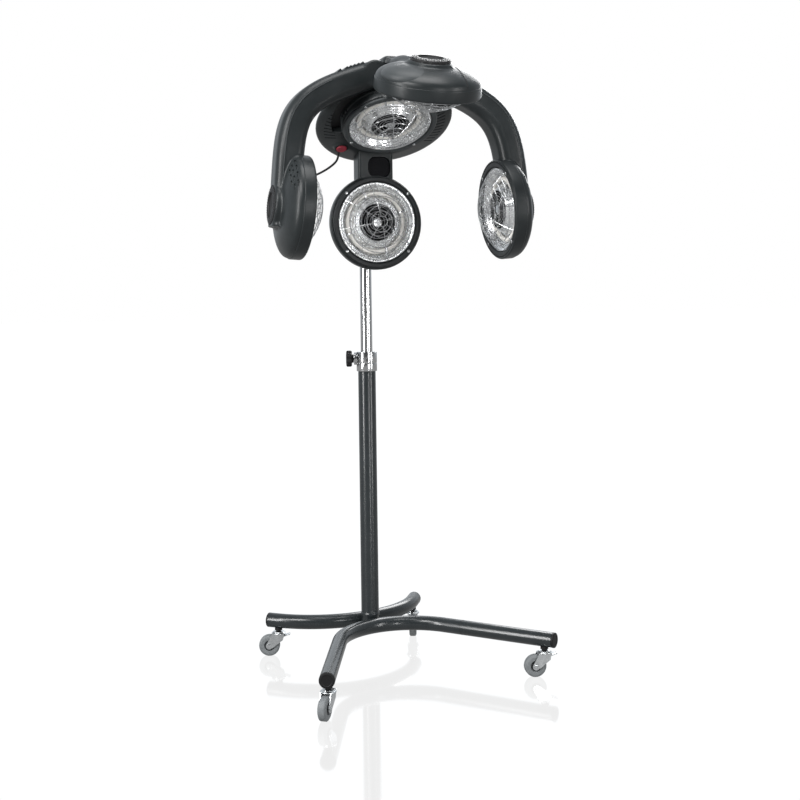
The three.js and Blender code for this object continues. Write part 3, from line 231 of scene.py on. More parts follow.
def rounded(points, radius, steps=4, ring=False):
    """The polyline with its corners rounded."""
    points = [Vector(p) for p in points]
    count = len(points)
    result = []
    for i, point in enumerate(points):
        if not ring and i in (0, count - 1):
            result.append(tuple(point))
            continue
        to_before, to_after = points[i - 1] - point, points[(i + 1) % count] - point
        reach = min(radius, to_before.length * CORNER_SHARE, to_after.length * CORNER_SHARE)
        start = point + to_before.normalized() * reach
        end = point + to_after.normalized() * reach
        for k in range(steps + 1):
            t = k / steps
            result.append(tuple(start * (1 - t) ** 2 + point * (2 * t * (1 - t)) + end * t ** 2))
    return result


def eased(profile, corner, sides, steps=4, ring=False):
    """A profile turned about Z with its corners rounded."""
    return lathe(rounded(profile, corner, steps, ring), sides, ring)


def sweep(sections, closed=False):
    """A form through a row of closed sections, each a list of points."""
    vertices = [tuple(p) for section in sections for p in section]
    count = len(sections[0])
    faces = []
    rows = len(sections)
    for k in range(rows if closed else rows - 1):
        for i in range(count):
            j = (i + 1) % count
            a, b = k * count, (k + 1) % rows * count
            faces.append((a + i, a + j, b + j, b + i))
    if not closed:
        faces.append(tuple(range(count - 1, -1, -1)))
        faces.append(tuple(range((rows - 1) * count, rows * count)))
    return vertices, faces


def frames_along(points, side, closed=False):
    """Origin, side and out directions along a line of points, with the side kept near the one given."""
    points, side = [Vector(p) for p in points], Vector(side)
    last = len(points) - 1
    result = []
    for i, point in enumerate(points):
        after = points[(i + 1) % len(points)] if closed else points[min(i + 1, last)]
        before = points[i - 1] if closed else points[max(i - 1, 0)]
        ahead = (after - before).normalized()
        across = (side - ahead * ahead.dot(side)).normalized()
        result.append((point, across, ahead.cross(across)))
    return result


def swept(outline, points, side, closed=False):
    """An outline, in side and out directions, carried along a line of points."""
    return sweep([
        [origin + across * u + out * v for u, v in outline]
        for origin, across, out in frames_along(points, side, closed)
    ], closed)


def tube(points, radius, sides=12, side=(0, 0, 1), closed=False):
    return swept([polar(radius, angle) for angle in all_round(sides)], points, side, closed)


def hoop(radius, height, wire, sides=8, count=72):
    """A ring of wire about Z."""
    return tube([(*polar(radius, angle), height) for angle in all_round(count)], wire, sides, closed=True)


def box(low, high, edge=0.0):
    """A block with bevelled edges."""
    work = bmesh.new()
    bmesh.ops.create_cube(work, size=1)
    size = [b - a for a, b in zip(low, high)]
    centre = [(a + b) / 2 for a, b in zip(low, high)]
    for vertex in work.verts:
        vertex.co = Vector([c + s * v for c, s, v in zip(centre, size, vertex.co)])
    if edge:
        bmesh.ops.bevel(work, geom=work.edges[:], offset=edge, segments=BEVEL_SEGMENTS, affect="EDGES",
                        profile=0.5)
    work.verts.ensure_lookup_table()
    form = [tuple(v.co) for v in work.verts], [[v.index for v in f.verts] for f in work.faces]
    work.free()
    return form


def extruded(outline, low, high, edge=0.0):
    """A plate from an outline in X and Y between two heights, with its edges eased."""
    if not edge:
        return sweep([[(x, y, z) for x, y in outline] for z in (low, high)])
    centre = [sum(p[k] for p in outline) / len(outline) for k in (0, 1)]
    reach = max(math.hypot(x - centre[0], y - centre[1]) for x, y in outline)
    inner = [tuple(c + (v - c) * (1 - edge / reach) for v, c in zip(p, centre)) for p in outline]
    layers = [(inner, low), (outline, low + edge), (outline, high - edge), (inner, high)]
    return sweep([[(x, y, z) for x, y in line] for line, z in layers])


def rounded_rectangle(width, height, corner, steps=5):
    points = []
    for cx, cy, start in ((1, 1, 0), (-1, 1, 90), (-1, -1, 180), (1, -1, 270)):
        for k in range(steps + 1):
            x, y = polar(corner, math.radians(start + 90 * k / steps))
            points.append((cx * (width / 2 - corner) + x, cy * (height / 2 - corner) + y))
    return points


def bezier(a, b, c, d, steps):
    points = []
    for k in range(steps + 1):
        t = k / steps
        points.append(Vector(a) * (1 - t) ** 3 + Vector(b) * (3 * t * (1 - t) ** 2)
                      + Vector(c) * (3 * t ** 2 * (1 - t)) + Vector(d) * t ** 3)
    return points


def moved(form, matrix):
    vertices, faces = form
    return [tuple(matrix @ Vector(v)) for v in vertices], faces


def laid(form, centre, axis):
    """A form turned to lie along another axis, with its middle at a place."""
    return moved(form, shift(*centre) @ axis)


def joined(*forms):
    vertices, faces = [], []
    for some_vertices, some_faces in forms:
        start = len(vertices)
        vertices.extend(some_vertices)
        faces.extend([[start + i for i in face] for face in some_faces])
    return vertices, faces


def make(name, form, matrix=HOOD):
    """A mesh object of a form, placed by a matrix, with outward faces."""
    vertices, faces = form
    mesh = bpy.data.meshes.new(name)
    mesh.from_pydata([tuple(matrix @ Vector(v)) for v in vertices], [], faces)
    work = bmesh.new()
    work.from_mesh(mesh)
    bmesh.ops.remove_doubles(work, verts=work.verts[:], dist=WELD_METRES)
    bmesh.ops.recalc_face_normals(work, faces=work.faces[:])
    work.to_mesh(mesh)
    work.free()
    thing = bpy.data.objects.new(name, mesh)
    bpy.context.scene.collection.objects.link(thing)
    return thing


def baked(thing):
    """Puts the object's modifiers into its mesh."""
    bpy.context.view_layer.update()
    graph = bpy.context.evaluated_depsgraph_get()
    mesh = bpy.data.meshes.new_from_object(thing.evaluated_get(graph))
    thing.modifiers.clear()
    thing.data = mesh
    return thing


def fused(name, forms, passes):
    """Several closed forms grown into one moulding with soft inner corners."""
    thing = make(name, joined(*forms))
    remesh = thing.modifiers.new("remesh", "REMESH")
    remesh.mode = "VOXEL"
    remesh.voxel_size = VOXEL * MM
    smooth = thing.modifiers.new("smooth", "SMOOTH")
    smooth.factor = SMOOTH_FACTOR
    smooth.iterations = passes
    return baked(thing)


def carved(thing, *cutters):
    """Takes forms, each with its matrix, out of an object, one after another."""
    for form, matrix in cutters:
        tool = make("tool", form, matrix)
        cut = thing.modifiers.new("cut", "BOOLEAN")
        cut.operation = "DIFFERENCE"
        cut.solver = "EXACT"
        cut.object = tool
        baked(thing)
        bpy.data.objects.remove(tool)
        work = bmesh.new()
        work.from_mesh(thing.data)
        bmesh.ops.dissolve_degenerate(work, dist=SLIVER_METRES, edges=work.edges[:])
        work.to_mesh(thing.data)
        work.free()
    return thing


def dressed(thing, body, material, replaces=()):
    """Shades a piece, gives it its finish and lets it ride on its body."""
    mesh = thing.data
    mesh.polygons.foreach_set("use_smooth", [True] * len(mesh.polygons))
    mesh.set_sharp_from_angle(angle=SMOOTH_ANGLE)
    mesh.materials.clear()
    mesh.materials.append(material)
    if body:
        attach(thing, body)
    # Blender numbers a name that the CAD's own materials have already.
    if replaces:
        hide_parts(*replaces)
    return thing


def piece(name, form, matrix, body, material, replaces=()):
    return dressed(make(name, form, matrix), body, material, replaces)


# Camera at the photograph's place
FOCAL_PIXELS = 1242
PHOTO_PIXELS = 800
HORIZON_PIXELS = 106.9
SENSOR_WIDTH = 36
SIGHT_METRES = 100
CAMERA_BACK = 2981
CAMERA_ASIDE = 78.5
CAMERA_HEIGHT = 871
CAMERA_AZIMUTH = math.radians(18)
CAMERA_ROLL = math.radians(0.78)
CAMERA_AHEAD = Vector((math.sin(CAMERA_AZIMUTH), math.cos(CAMERA_AZIMUTH), 0))


def set_camera():
    data = bpy.data.cameras.new("photo_camera")
    data.sensor_width = SENSOR_WIDTH
    data.lens = FOCAL_PIXELS * SENSOR_WIDTH / PHOTO_PIXELS
    data.shift_x = HORIZON_PIXELS * math.sin(CAMERA_ROLL) / PHOTO_PIXELS
    data.shift_y = -HORIZON_PIXELS * math.cos(CAMERA_ROLL) / PHOTO_PIXELS
    data.clip_end = SIGHT_METRES
    camera = bpy.data.objects.new("photo_camera", data)
    bpy.context.scene.collection.objects.link(camera)
    right = Vector((math.cos(CAMERA_AZIMUTH), -math.sin(CAMERA_AZIMUTH), 0))
    up = Vector((0, 0, 1))
    place = HOOD @ (right * CAMERA_ASIDE - CAMERA_AHEAD * CAMERA_BACK + up * CAMERA_HEIGHT)
    rolled_right = right * math.cos(CAMERA_ROLL) - up * math.sin(CAMERA_ROLL)
    rolled_up = up * math.cos(CAMERA_ROLL) + right * math.sin(CAMERA_ROLL)
    axes = Matrix((rolled_right, rolled_up, -CAMERA_AHEAD)).transposed()
    camera.matrix_world = Matrix.Translation(place) @ axes.to_4x4()
    bpy.context.scene.camera = camera


set_camera()


# Control cable, which bends between the hood and the left head
CABLE_ROUTE = [(-84, -81, 1202), (-98, -100, 1174), (-146, -142, 1144), (-202, -170, 1124),
               (-233, -197, 1106)]
CABLE_DIAMETER = 5
CABLE_STEPS = 8
CABLE_SIDE = (0, 1, 0.2)


def through(points, steps):
    """A smooth line through points."""
    points = [Vector(p) for p in points]
    ends = [points[0] * 2 - points[1], *points, points[-1] * 2 - points[-2]]
    line = []
    for a, b, c, d in zip(ends, ends[1:], ends[2:], ends[3:]):
        for k in range(steps):
            t = k / steps
            line.append(0.5 * (b * 2 + (c - a) * t + (a * 2 - b * 5 + c * 4 - d) * t ** 2
                               + (b * 3 - a - c * 3 + d) * t ** 3))
    line.append(points[-1])
    return line


def control_cable():
    line = through(CABLE_ROUTE, CABLE_STEPS)
    thing = make("cable", tube(line, CABLE_DIAMETER / 2, side=CABLE_SIDE))
    dressed(thing, None, RUBBER, ["control_cable"])
    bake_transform(thing)


control_cable()


# Stand

LEG_RADIUS = 17
LEG_HEIGHT = 83.3
LEG_APEX = 38.3
LEG_STEPS = 90
LEGS = {
    "front_leg_tube": {"bend": 160, "half_angle": 59, "straight": 280, "spin": 0},
    "rear_leg_tube": {"bend": 240, "half_angle": 50, "straight": 24, "spin": 180},
}
SLEEVE_RUN = 215
SLEEVE_LINE = 0.25
STEM_SETBACK = 22
STEM = [(0, 52), (4, 52), (4, 58.6), (6.4, 58.6), (6.4, 61), (9, 61), (9, 66.6), (7, 66.6), (7, 74), (0, 74)]
CAP = [(0, -9), (14.4, -9), (14.4, 0.3), (17, 0.3), (17, 4.2), (12, 5.4), (11, 4.6), (0, 4.6)]


def leg_reach(leg):
    return leg["bend"] * math.radians(leg["half_angle"]) + leg["straight"]


def leg_point(leg, run):
    """A point on a leg tube's axis, at a run from its apex."""
    bend = leg["bend"]
    arc = bend * math.radians(leg["half_angle"])
    bent = max(-arc, min(arc, run))
    angle, rest = bent / bend, run - bent
    x = bend * math.sin(angle) + rest * math.cos(angle)
    y = -LEG_APEX - bend * (1 - math.cos(angle)) - rest * math.sin(angle)
    return Vector((x, y, LEG_HEIGHT))


def leg_tubes():
    for node, leg in LEGS.items():
        matrix = BASE @ turn(leg["spin"], "Z")
        reach = leg_reach(leg)
        line = [leg_point(leg, -reach + 2 * reach * k / LEG_STEPS) for k in range(LEG_STEPS + 1)]
        stems = []
        for end in (-1, 1):
            at = leg_point(leg, end * (reach - STEM_SETBACK))
            stems.append(moved(eased(STEM, 0.6, 32, 2), shift(at.x, at.y, 0)))
        piece(node.replace("_tube", "_painted"), tube(line, LEG_RADIUS, 40), matrix, "base", PAINT, [node])
        piece(node.replace("_tube", "_stems"), joined(*stems), matrix, "base", BLACK_AND_SHADE)
    sleeve = [leg_point(LEGS["front_leg_tube"], SLEEVE_RUN + k) for k in (0, 0.5, 1)]
    piece("right_leg_sleeve_line", tube(sleeve, LEG_RADIUS + SLEEVE_LINE, 48), BASE, "base", BLACK_AND_SHADE)


leg_tubes()

LEG_ENDS = {
    "front": ("front_leg_tube", -1, 225),
    "right": ("front_leg_tube", 1, 160),
    "left": ("rear_leg_tube", 1, 152),
    "rear": ("rear_leg_tube", -1, 242),
}


def end_caps():
    for name, (node, end, _) in LEG_ENDS.items():
        leg = LEGS[node]
        reach = leg_reach(leg)
        tip = leg_point(leg, end * reach)
        outward = (tip - leg_point(leg, end * (reach - 1))).normalized()
        facing = outward.to_track_quat("Z", "X").to_matrix().to_4x4()
        place = BASE @ turn(leg["spin"], "Z") @ Matrix.Translation(tip) @ facing
        piece(f"{name}_cap", eased(CAP, 1.2, 48), place, "base", BLACK_AND_SHADE, [f"{name}_leg_end_cap"])


end_caps()


# Casters, in a frame with the stem on Z and the wheel trailing along X

WHEEL_CENTRE = (22, 0, 25)
PEDAL_CENTRE = (-3, 0, 43)
PEDAL_SLOPE = 16
PEDAL_PLATE = (-26, -8, 0), (1, 8, 2.5)
PEDAL_EYE = pipe(2.4, 4, -9.6, 9.6)
PEDAL_PIN = rod(2, -12.6, 12.6)
CHEEK_INSIDE = 10
CHEEK_OUTSIDE = 12.5
CHEEK_EDGE = 0.5
AXLE_EYE = 8
FORK_CROWN = [(0, 52), (17, 52), (17, 54.5), (13.5, 57), (13.5, 58), (0, 58)]
AXLE = [(0, -14), (4.5, -14), (4.5, -12.4), (3, -12.4), (3, 12.4), (4.5, 12.4), (4.5, 14), (0, 14)]
TREAD = [(12, -9), (21, -9), (25, -6.5), (25, 6.5), (21, 9), (12, 9)]
DISC = [(3.4, -7.5), (6, -7.5), (7.5, -6), (12, -6.8), (12, 6.8), (7.5, 6), (6, 7.5), (3.4, 7.5)]


def cheek(sign):
    """One side plate of the fork, with its lower end round the axle."""
    outline = [(-14.5, 55), (-11, 39), (14, 20)]
    for k in range(11):
        x, z = polar(AXLE_EYE, math.radians(215 + 17 * k))
        outline.append((WHEEL_CENTRE[0] + x, WHEEL_CENTRE[2] + z))
    outline += [(20, 44), (14.5, 55)]
    upright = Matrix(((1, 0, 0, 0), (0, 0, sign, 0), (0, 1, 0, 0), (0, 0, 0, 1)))
    return moved(extruded(outline, CHEEK_INSIDE, CHEEK_OUTSIDE, CHEEK_EDGE), upright)


def casters():
    axle = laid(eased(AXLE, 0.4, 32, 2), WHEEL_CENTRE, ALONG_Y)
    pin = laid(lathe(PEDAL_PIN, 20), PEDAL_CENTRE, ALONG_Y)
    fork = joined(eased(FORK_CROWN, 1, 48), cheek(1), cheek(-1), axle, pin)
    tyre = laid(eased(TREAD, 1.5, 64, 3, True), WHEEL_CENTRE, ALONG_Y)
    disc = laid(eased(DISC, 0.6, 48, 2, True), WHEEL_CENTRE, ALONG_Y)
    lever = laid(box(*PEDAL_PLATE, 0.8), PEDAL_CENTRE, turn(PEDAL_SLOPE, "Y"))
    eye = laid(eased(PEDAL_EYE, 0.4, 32, 2, True), PEDAL_CENTRE, ALONG_Y)
    for name, (node, end, yaw) in LEG_ENDS.items():
        leg = LEGS[node]
        stem = leg_point(leg, end * (leg_reach(leg) - STEM_SETBACK))
        place = BASE @ turn(leg["spin"], "Z") @ shift(stem.x, stem.y, 0) @ turn(yaw - leg["spin"], "Z")
        piece(f"{name}_fork_pressing", fork, place, f"{name}_fork", ZINC, [f"{name}_caster_fork"])
        piece(f"{name}_tyre", tyre, place, f"{name}_wheel", WHEEL, [f"{name}_caster_wheel"])
        piece(f"{name}_wheel_disc", disc, place, f"{name}_wheel", SATIN_AND_PAINTED_LIGHT)
        piece(f"{name}_brake_lever", joined(lever, eye), place, f"{name}_brake", ZINC,
              [f"{name}_caster_brake"])


casters()


# Column, clamp and pole

COLUMN = [(19, 66.3), (21, 66.3), (21, 100.9), (22.6, 100.9), (22.9, 106), (21, 108.8), (21, 683.6),
          (20.4, 685), (19, 685)]
POLE = [(12, 300), (18.6, 300), (18.6, 330), (14, 330), (14, 1149.5), (12, 1150)]
CLAMP_YAW = 162
CLAMP_CENTRE = (0, 0, 715.3)
COLLAR = [(14.3, 665), (18.6, 665), (18.6, 685.3), (24.5, 685.3), (24.5, 704), (23.8, 705), (24.5, 706),
          (24.5, 731.3), (14.3, 731.3)]
COLLAR_BOSS = pipe(4.4, 15, 22, 30.4)
KNOB_RADIUS = 19.4
KNOB_SCALLOP = 3.4
KNOB_LOBES = 6
KNOB_STEPS = 72
KNOB_CORE = [(0, 21.5), (3.9, 21.5), (3.9, 31.5), (10, 31.5), (10, 37), (0, 37)]
KNOB_CAP = rod(9, 48, 49.3)
SCREW_YAW = 255
SCREW = [(0, -1), (3, -1), (3, 0.5), (1.2, 0.5), (1.2, -0.4), (0, -0.4)]


def stand_post():
    column = lathe(rounded(COLUMN, 0.8, 2), 64, True)
    piece("column_painted", column, HOOD, "base", PAINT, ["column"])
    piece("pole_chromed", lathe(POLE, 64, True), HOOD, "pole", CHROME, ["pole"])


def knob_lobe(angle):
    dip = (0.5 - 0.5 * math.cos(KNOB_LOBES * angle)) ** 1.5
    return polar(KNOB_RADIUS - KNOB_SCALLOP * dip, angle)


def clamp():
    place = HOOD @ turn(CLAMP_YAW, "Z")
    boss = laid(eased(COLLAR_BOSS, 1.2, 48, 3, True), CLAMP_CENTRE, ALONG_X)
    collar = joined(eased(COLLAR, 0.9, 72, 3, True), boss)
    piece("collar_chromed", collar, place, "base", CHROME, ["clamp_collar"])
    grip = extruded([knob_lobe(angle) for angle in all_round(KNOB_STEPS)], 35.6, 49, 2.2)
    knob = joined(grip, eased(KNOB_CORE, 0.8, 40, 2), eased(KNOB_CAP, 0.6, 40, 2))
    piece("knob_grip", laid(knob, CLAMP_CENTRE, ALONG_X), place, "knob", BLACK_AND_SHADE, ["clamp_knob"])
    facing = HOOD @ turn(SCREW_YAW, "Z") @ shift(24.3, 0, 712) @ ALONG_X
    piece("collar_screw", eased(SCREW, 0.2, 24, 2), facing, "base", BLACK_AND_SHADE)


stand_post()
clamp()


# Lamp modules

GUARD_EDGE = 92.4
GUARD_SAG = 40
GUARD_SEAT = -3.2
GUARD_WIRE = 0.85
GUARD_RINGS = (12, 24, 36, 48, 60, 71, 82, 92)
GUARD_SPOKES = 8
SPOKE_STEPS = 24
SPOKE_TURN = 0.2
REFLECTOR_FRONT = [(92.6, -4.8), (88, -4.8), (85.5, -8), (78, -20), (73, -23.6), (68, -25), (62, -23.4),
                   (56, -20), (50, -11), (44.5, -3.4)]
REFLECTOR_BACK = [(43.4, -3), (42.8, -3.4), (42.8, -20), (56, -26.2), (78, -26.2), (89, -6), (92.6, -6)]
PRISM_RINGS = ((86.3, -7.4), (82.5, -12.6), (78.6, -18.2), (58.6, -20.9), (53.6, -16), (50, -10.6),
               (47, -6.8))
PRISM_WIRE = 0.9
LAMP_CLIP = (-2.5, 61.5, -25.5), (2.5, 74.5, -12.6)
BEZEL = [(94.2, -6), (106, -6), (106, -1.6), (104, 0), (96.5, 0), (94.2, -2)]
BEZEL_SCREW = [(0, -0.6), (3.6, -0.6), (3.4, 1), (0, 1.6)]
SCREW_SLOT = (-2.4, -0.5, 0.9), (2.4, 0.5, 1.75)
SCREW_ANGLES = (42, 138, 222, 318)
FAN_HUB = [(0, -18), (14, -18), (14, -6), (12.5, -4.4), (0, -4.4)]
BLADE_COUNT = 5
BLADE_STEPS = 8
BLADE_ROOT = 13
BLADE_LENGTH = 25
BLADE_MIDDLE = -11.2
BLADE_SECTION = ((-0.5, 0), (-0.25, 0.9), (0, 1.2), (0.25, 0.9), (0.5, 0), (0.25, -0.5), (0, -0.3),
                 (-0.25, -0.5))
FINGER_RINGS = (18, 24.5, 31, 37.5, 43.4)
FINGER_WIRE = 0.6
FINGER_SPOKES = 6
FINGER_PLATE = [(0, -3.6), (11.5, -3.6), (11.5, -2), (8, -1.2), (0, -1.2)]
MOTOR = [(0, -42), (17.5, -42), (18, -40), (18, -24), (14, -22), (0, -22)]
MOTOR_SHAFT = rod(2.5, -23, -8)


def guard_height(radius):
    return GUARD_SEAT + GUARD_SAG * (1 - (radius / GUARD_EDGE) ** 2)


def wire_guard():
    wires = [hoop(radius, guard_height(radius), GUARD_WIRE) for radius in GUARD_RINGS]
    for angle in all_round(GUARD_SPOKES):
        line = []
        for i in range(SPOKE_STEPS + 1):
            radius = GUARD_RINGS[0] + (GUARD_EDGE - GUARD_RINGS[0]) * i / SPOKE_STEPS
            behind = guard_height(radius) - 1.2 * GUARD_WIRE
            line.append((*polar(radius, angle + SPOKE_TURN), behind))
        wires.append(tube(line, GUARD_WIRE, 8))
    return joined(*wires)


def prism_rings():
    """Fine raised rings pressed into the reflector."""
    return joined(*[hoop(radius, depth, PRISM_WIRE, count=96) for radius, depth in PRISM_RINGS])


def lamp_clips():
    return joined(*[moved(box(*LAMP_CLIP, 1), turn(90 * k + 22, "Z")) for k in range(4)])


def bezel_screws():
    """The screws on a bezel, and the slots in their heads."""
    screws, slots = [], []
    for angle in SCREW_ANGLES:
        place = turn(angle, "Z") @ shift(100.3, 0, 0.1)
        screws.append(moved(eased(BEZEL_SCREW, 0.5, 20, 2), place))
        slots.append(moved(box(*SCREW_SLOT, 0.1), place @ turn(angle * 1.7, "Z")))
    return joined(*screws), joined(*slots)


def fan_blade():
    """A blade that twists and leans from its root to its tip."""
    sections = []
    for i in range(BLADE_STEPS + 1):
        t = i / BLADE_STEPS
        radius = BLADE_ROOT + BLADE_LENGTH * t
        chord = 15 + 5 * math.sin(math.pi * t * 0.8)
        pitch = math.radians(42 - 18 * t)
        lean = 0.25 * t
        points = []
        for u, thickness in BLADE_SECTION:
            along = u * chord
            angle = lean + along * math.cos(pitch) / radius * 0.8
            height = BLADE_MIDDLE + along * math.sin(pitch) * 0.75 + thickness
            points.append((*polar(radius, angle), height))
        sections.append(points)
    return sweep(sections)


def fan_rotor():
    blades = [moved(fan_blade(), turn(360 / BLADE_COUNT * k, "Z")) for k in range(BLADE_COUNT)]
    return joined(eased(FAN_HUB, 1.2, 48), *blades)


def finger_guard():
    wires = [hoop(radius, -2.6, FINGER_WIRE, count=64) for radius in FINGER_RINGS]
    for angle in all_round(FINGER_SPOKES):
        line = [(*polar(radius, angle + 0.3), -3.6) for radius in (10, 20, 30, 43.2)]
        wires.append(tube(line, FINGER_WIRE, 8))
    return joined(eased(FINGER_PLATE, 0.7, 48, 2), *wires)


def lamp_modules():
    screws, slots = bezel_screws()
    reflector = lathe(rounded(REFLECTOR_FRONT, 3) + REFLECTOR_BACK, 120, True)
    motor = joined(eased(MOTOR, 1, 48), lathe(MOTOR_SHAFT, 20))
    for name, matrix in HEADS.items():
        body = "hood" if name in ("crown", "nape") else f"{name}_head"
        # The crown's bezel is the same dark plastic as the others. It gets the lighter grey as painted
        # light.
        finish = SATIN_AND_PAINTED_LIGHT if name == "crown" else DARK_AND_SHADE
        piece(f"{name}_bezel_ring", eased(BEZEL, 0.9, 128, 3, True), matrix, body, finish, [f"{name}_bezel"])
        piece(f"{name}_bezel_screws", screws, matrix, body, WIRE)
        piece(f"{name}_screw_slots", slots, matrix, body, BLACK_AND_SHADE)
        piece(f"{name}_reflector_dish", reflector, matrix, body, MIRROR, [f"{name}_reflector"])
        piece(f"{name}_reflector_rings", prism_rings(), matrix, body, MIRROR)
        piece(f"{name}_lamp_tube", hoop(68, -18.6, 5, 20, 120), matrix, body, LAMP, [f"{name}_ring_lamp"])
        piece(f"{name}_lamp_clips", lamp_clips(), matrix, body, WIRE)
        piece(f"{name}_guard_wires", wire_guard(), matrix, body, WIRE, [f"{name}_wire_guard"])
        piece(f"{name}_finger_guard", finger_guard(), matrix, body, WIRE)
        piece(f"{name}_fan_blades", fan_rotor(), matrix, f"{name}_fan_rotor", BLACK_AND_SHADE, [f"{name}_fan"])
        piece(f"{name}_motor_can", motor, matrix, body, BLACK_AND_SHADE, [f"{name}_fan_motor"])


lamp_modules()


# Lamp head shells

RIM = 111
RIM_DEPTH = 26
RIM_SEAT = 106.4
DOME_DEPTH = 62
SHOULDER = 28
SHOULDER_INSET = 2
HOLLOW = 103
HOLLOW_DEPTH = 58
HOLLOW_MOUTH = 20
VENT_RADIUS = 41.5
VENT_DOT_RINGS = ((39.2, 44), (35.6, 40), (32, 36), (28.6, 32))
VENT_STUDS = 54
VENT_STUD_PITCH = 3.2
VENT_STUD = [(0, -0.6), (1.2, -0.6), (1.2, 0.2), (0.7, 0.6), (0, 0.6)]


def bowl(radius, start, depth, steps=14):
    """The profile of half an ellipsoid that opens towards +Z."""
    quarter = [math.pi / 2 * k / steps for k in range(steps)]
    return [(radius * math.cos(a), -start - (depth - start) * math.sin(a)) for a in quarter] + [(0, -depth)]


def dome(radius):
    edge = [(0, -20), (radius - 4, -20), (radius - 1.5, -22), (radius - 1.5, -SHOULDER)]
    return lathe(edge + bowl(radius - SHOULDER_INSET, SHOULDER, DOME_DEPTH))


def dome_height(radius):
    """The height of a dome's skin at a radius from the lamp's axis."""
    share = radius / (RIM - SHOULDER_INSET)
    return -SHOULDER - (DOME_DEPTH - SHOULDER) * math.sqrt(max(0, 1 - share ** 2))


def rim_band(radius, front):
    return eased([
        (RIM_SEAT, front), (radius - 2, front), (radius, front - 3), (radius, -RIM_DEPTH + 1.5),
        (radius - 1, -RIM_DEPTH), (104, -RIM_DEPTH), (104, -10), (RIM_SEAT, -10),
    ], 1.2, 128, 3, True)


def hollow(*mouth, sides=72):
    """The room for a lamp module, with the corners of its mouth."""
    corners = [(0, HOLLOW_MOUTH), *mouth, (HOLLOW, -RIM_DEPTH)]
    return lathe(corners + bowl(HOLLOW, RIM_DEPTH, HOLLOW_DEPTH)[1:], sides)


HEAD_ROOM = hollow((HOLLOW, HOLLOW_MOUTH))


def vent_pad(raise_by):
    back = -DOME_DEPTH - raise_by
    return eased([(0, back), (46, back), (54, -38), (0, -38)], 4, 72)


def vent_recess(raise_by):
    back = -DOME_DEPTH - raise_by
    return lathe(rod(42, back - 10, back + 4), 60)


def vent_cap(raise_by, proud):
    """The domed black cap, and the raised dots of its grille."""
    seat = -DOME_DEPTH - raise_by + 3.8
    back = seat - 3.8 - proud
    profile = rounded([
        (VENT_RADIUS, seat), (VENT_RADIUS, back + 0.6), (38, back - 1.2), (28, back - 2.4), (26, back + 1),
        (0, back + 1.5), (0, seat),
    ], 1.2, 3)
    cap = lathe([(0, seat), *profile[:-1]], 72)
    dots = []
    for radius, count in VENT_DOT_RINGS:
        top = back - 2.5 + max(0, radius - 28) * 0.115
        dot = lathe([(0, top + 1), (1.3, top + 1), (1.3, top), (0.8, top - 0.5), (0, top - 0.5)], 8)
        for k in range(count):
            angle = 2 * math.pi * (k + (radius > 35) * 0.5) / count
            dots.append(moved(dot, shift(*polar(radius, angle), 0)))
    for row in range(int(proud / VENT_STUD_PITCH)):
        height = back + 2.6 + VENT_STUD_PITCH * row
        for k in range(VENT_STUDS):
            facing = turn(360 * (k + row * 0.5) / VENT_STUDS, "Z") @ shift(VENT_RADIUS, 0, height) @ ALONG_X
            dots.append(moved(lathe(VENT_STUD, 8), facing))
    return cap, joined(*dots)


def landing(start, away, lead, over, ahead, land, tail, steps):
    """An arm's line from its hinge, that lands on a dome and runs on over it."""
    line = bezier(start, start + away * lead, over - ahead * land, over, steps)
    return line + [over + ahead * (tail / 2), over + ahead * tail]


# Side arms

ARM_PIVOT = (58, -264, 1346)
ARM_SLOPE = math.radians(17)
ARM_THICKNESS = 60
ARM_WIDTH = 74
ARM_CORNER = 20
ARM_RAISE = 10
ARM_LEAD = 206
ARM_LAND = 196
ARM_TAIL = 46
ARM_SIDE = (0, 1, 0)
ARM_PIN = rod(6, -30, 30)
HIGHLIGHT_TRIM_START = 8
RIB_START = 26
RIB_PITCH = 9.5
RIB_COUNT = 6
RIB_HALF_WIDTH = 25
RIB_TOOTH = [(-4.5, 22), (-4.5, 29), (-2.5, 33), (4.5, 30), (4.5, 22)]
LOUVRE_ROWS = ((103, 206, 4), (94.5, 209, 4), (86, 213, 3))
LOUVRE_PITCH = 12
LOUVRE_SPAN = 7.5
LOUVRE_STEPS = 6
LOUVRE_RADIUS = 2.3
HINGE_MOUTH = 15.6
ARM_EYE = rod(23.6, -HINGE_MOUTH, HINGE_MOUTH)
ARM_EYE_REACH = 60


def arm_pivot(sign):
    return Vector((sign * ARM_PIVOT[0], *ARM_PIVOT[1:]))


def arm_line(sign, steps=40):
    place = in_hood("right" if sign > 0 else "left")
    away = Vector((sign * math.cos(ARM_SLOPE), 0, -math.sin(ARM_SLOPE)))
    over = place @ Vector((0, 0, -(DOME_DEPTH + ARM_RAISE - ARM_THICKNESS / 2)))
    down = (place @ Vector((-sign, 0, 0)) - place @ Vector((0, 0, 0))).normalized()
    return landing(arm_pivot(sign), away, ARM_LEAD, over, down, ARM_LAND, ARM_TAIL, steps)


def arm_ribs(sign):
    """Saw teeth across the arm's top, near its hinge."""
    ribs = []
    line = arm_line(sign, 60)
    run = 0
    for a, b in zip(line, line[1:]):
        run += (b - a).length
        if run > RIB_START + RIB_PITCH * len(ribs) and len(ribs) < RIB_COUNT:
            ahead = (b - a).normalized()
            out = ahead.cross(Vector(ARM_SIDE))
            if out.z < 0:
                out = -out
            ribs.append(sweep([
                [a + ahead * u + out * v + Vector((0, w, 0)) for u, v in RIB_TOOTH]
                for w in (-RIB_HALF_WIDTH, RIB_HALF_WIDTH)
            ]))
    return joined(*ribs)


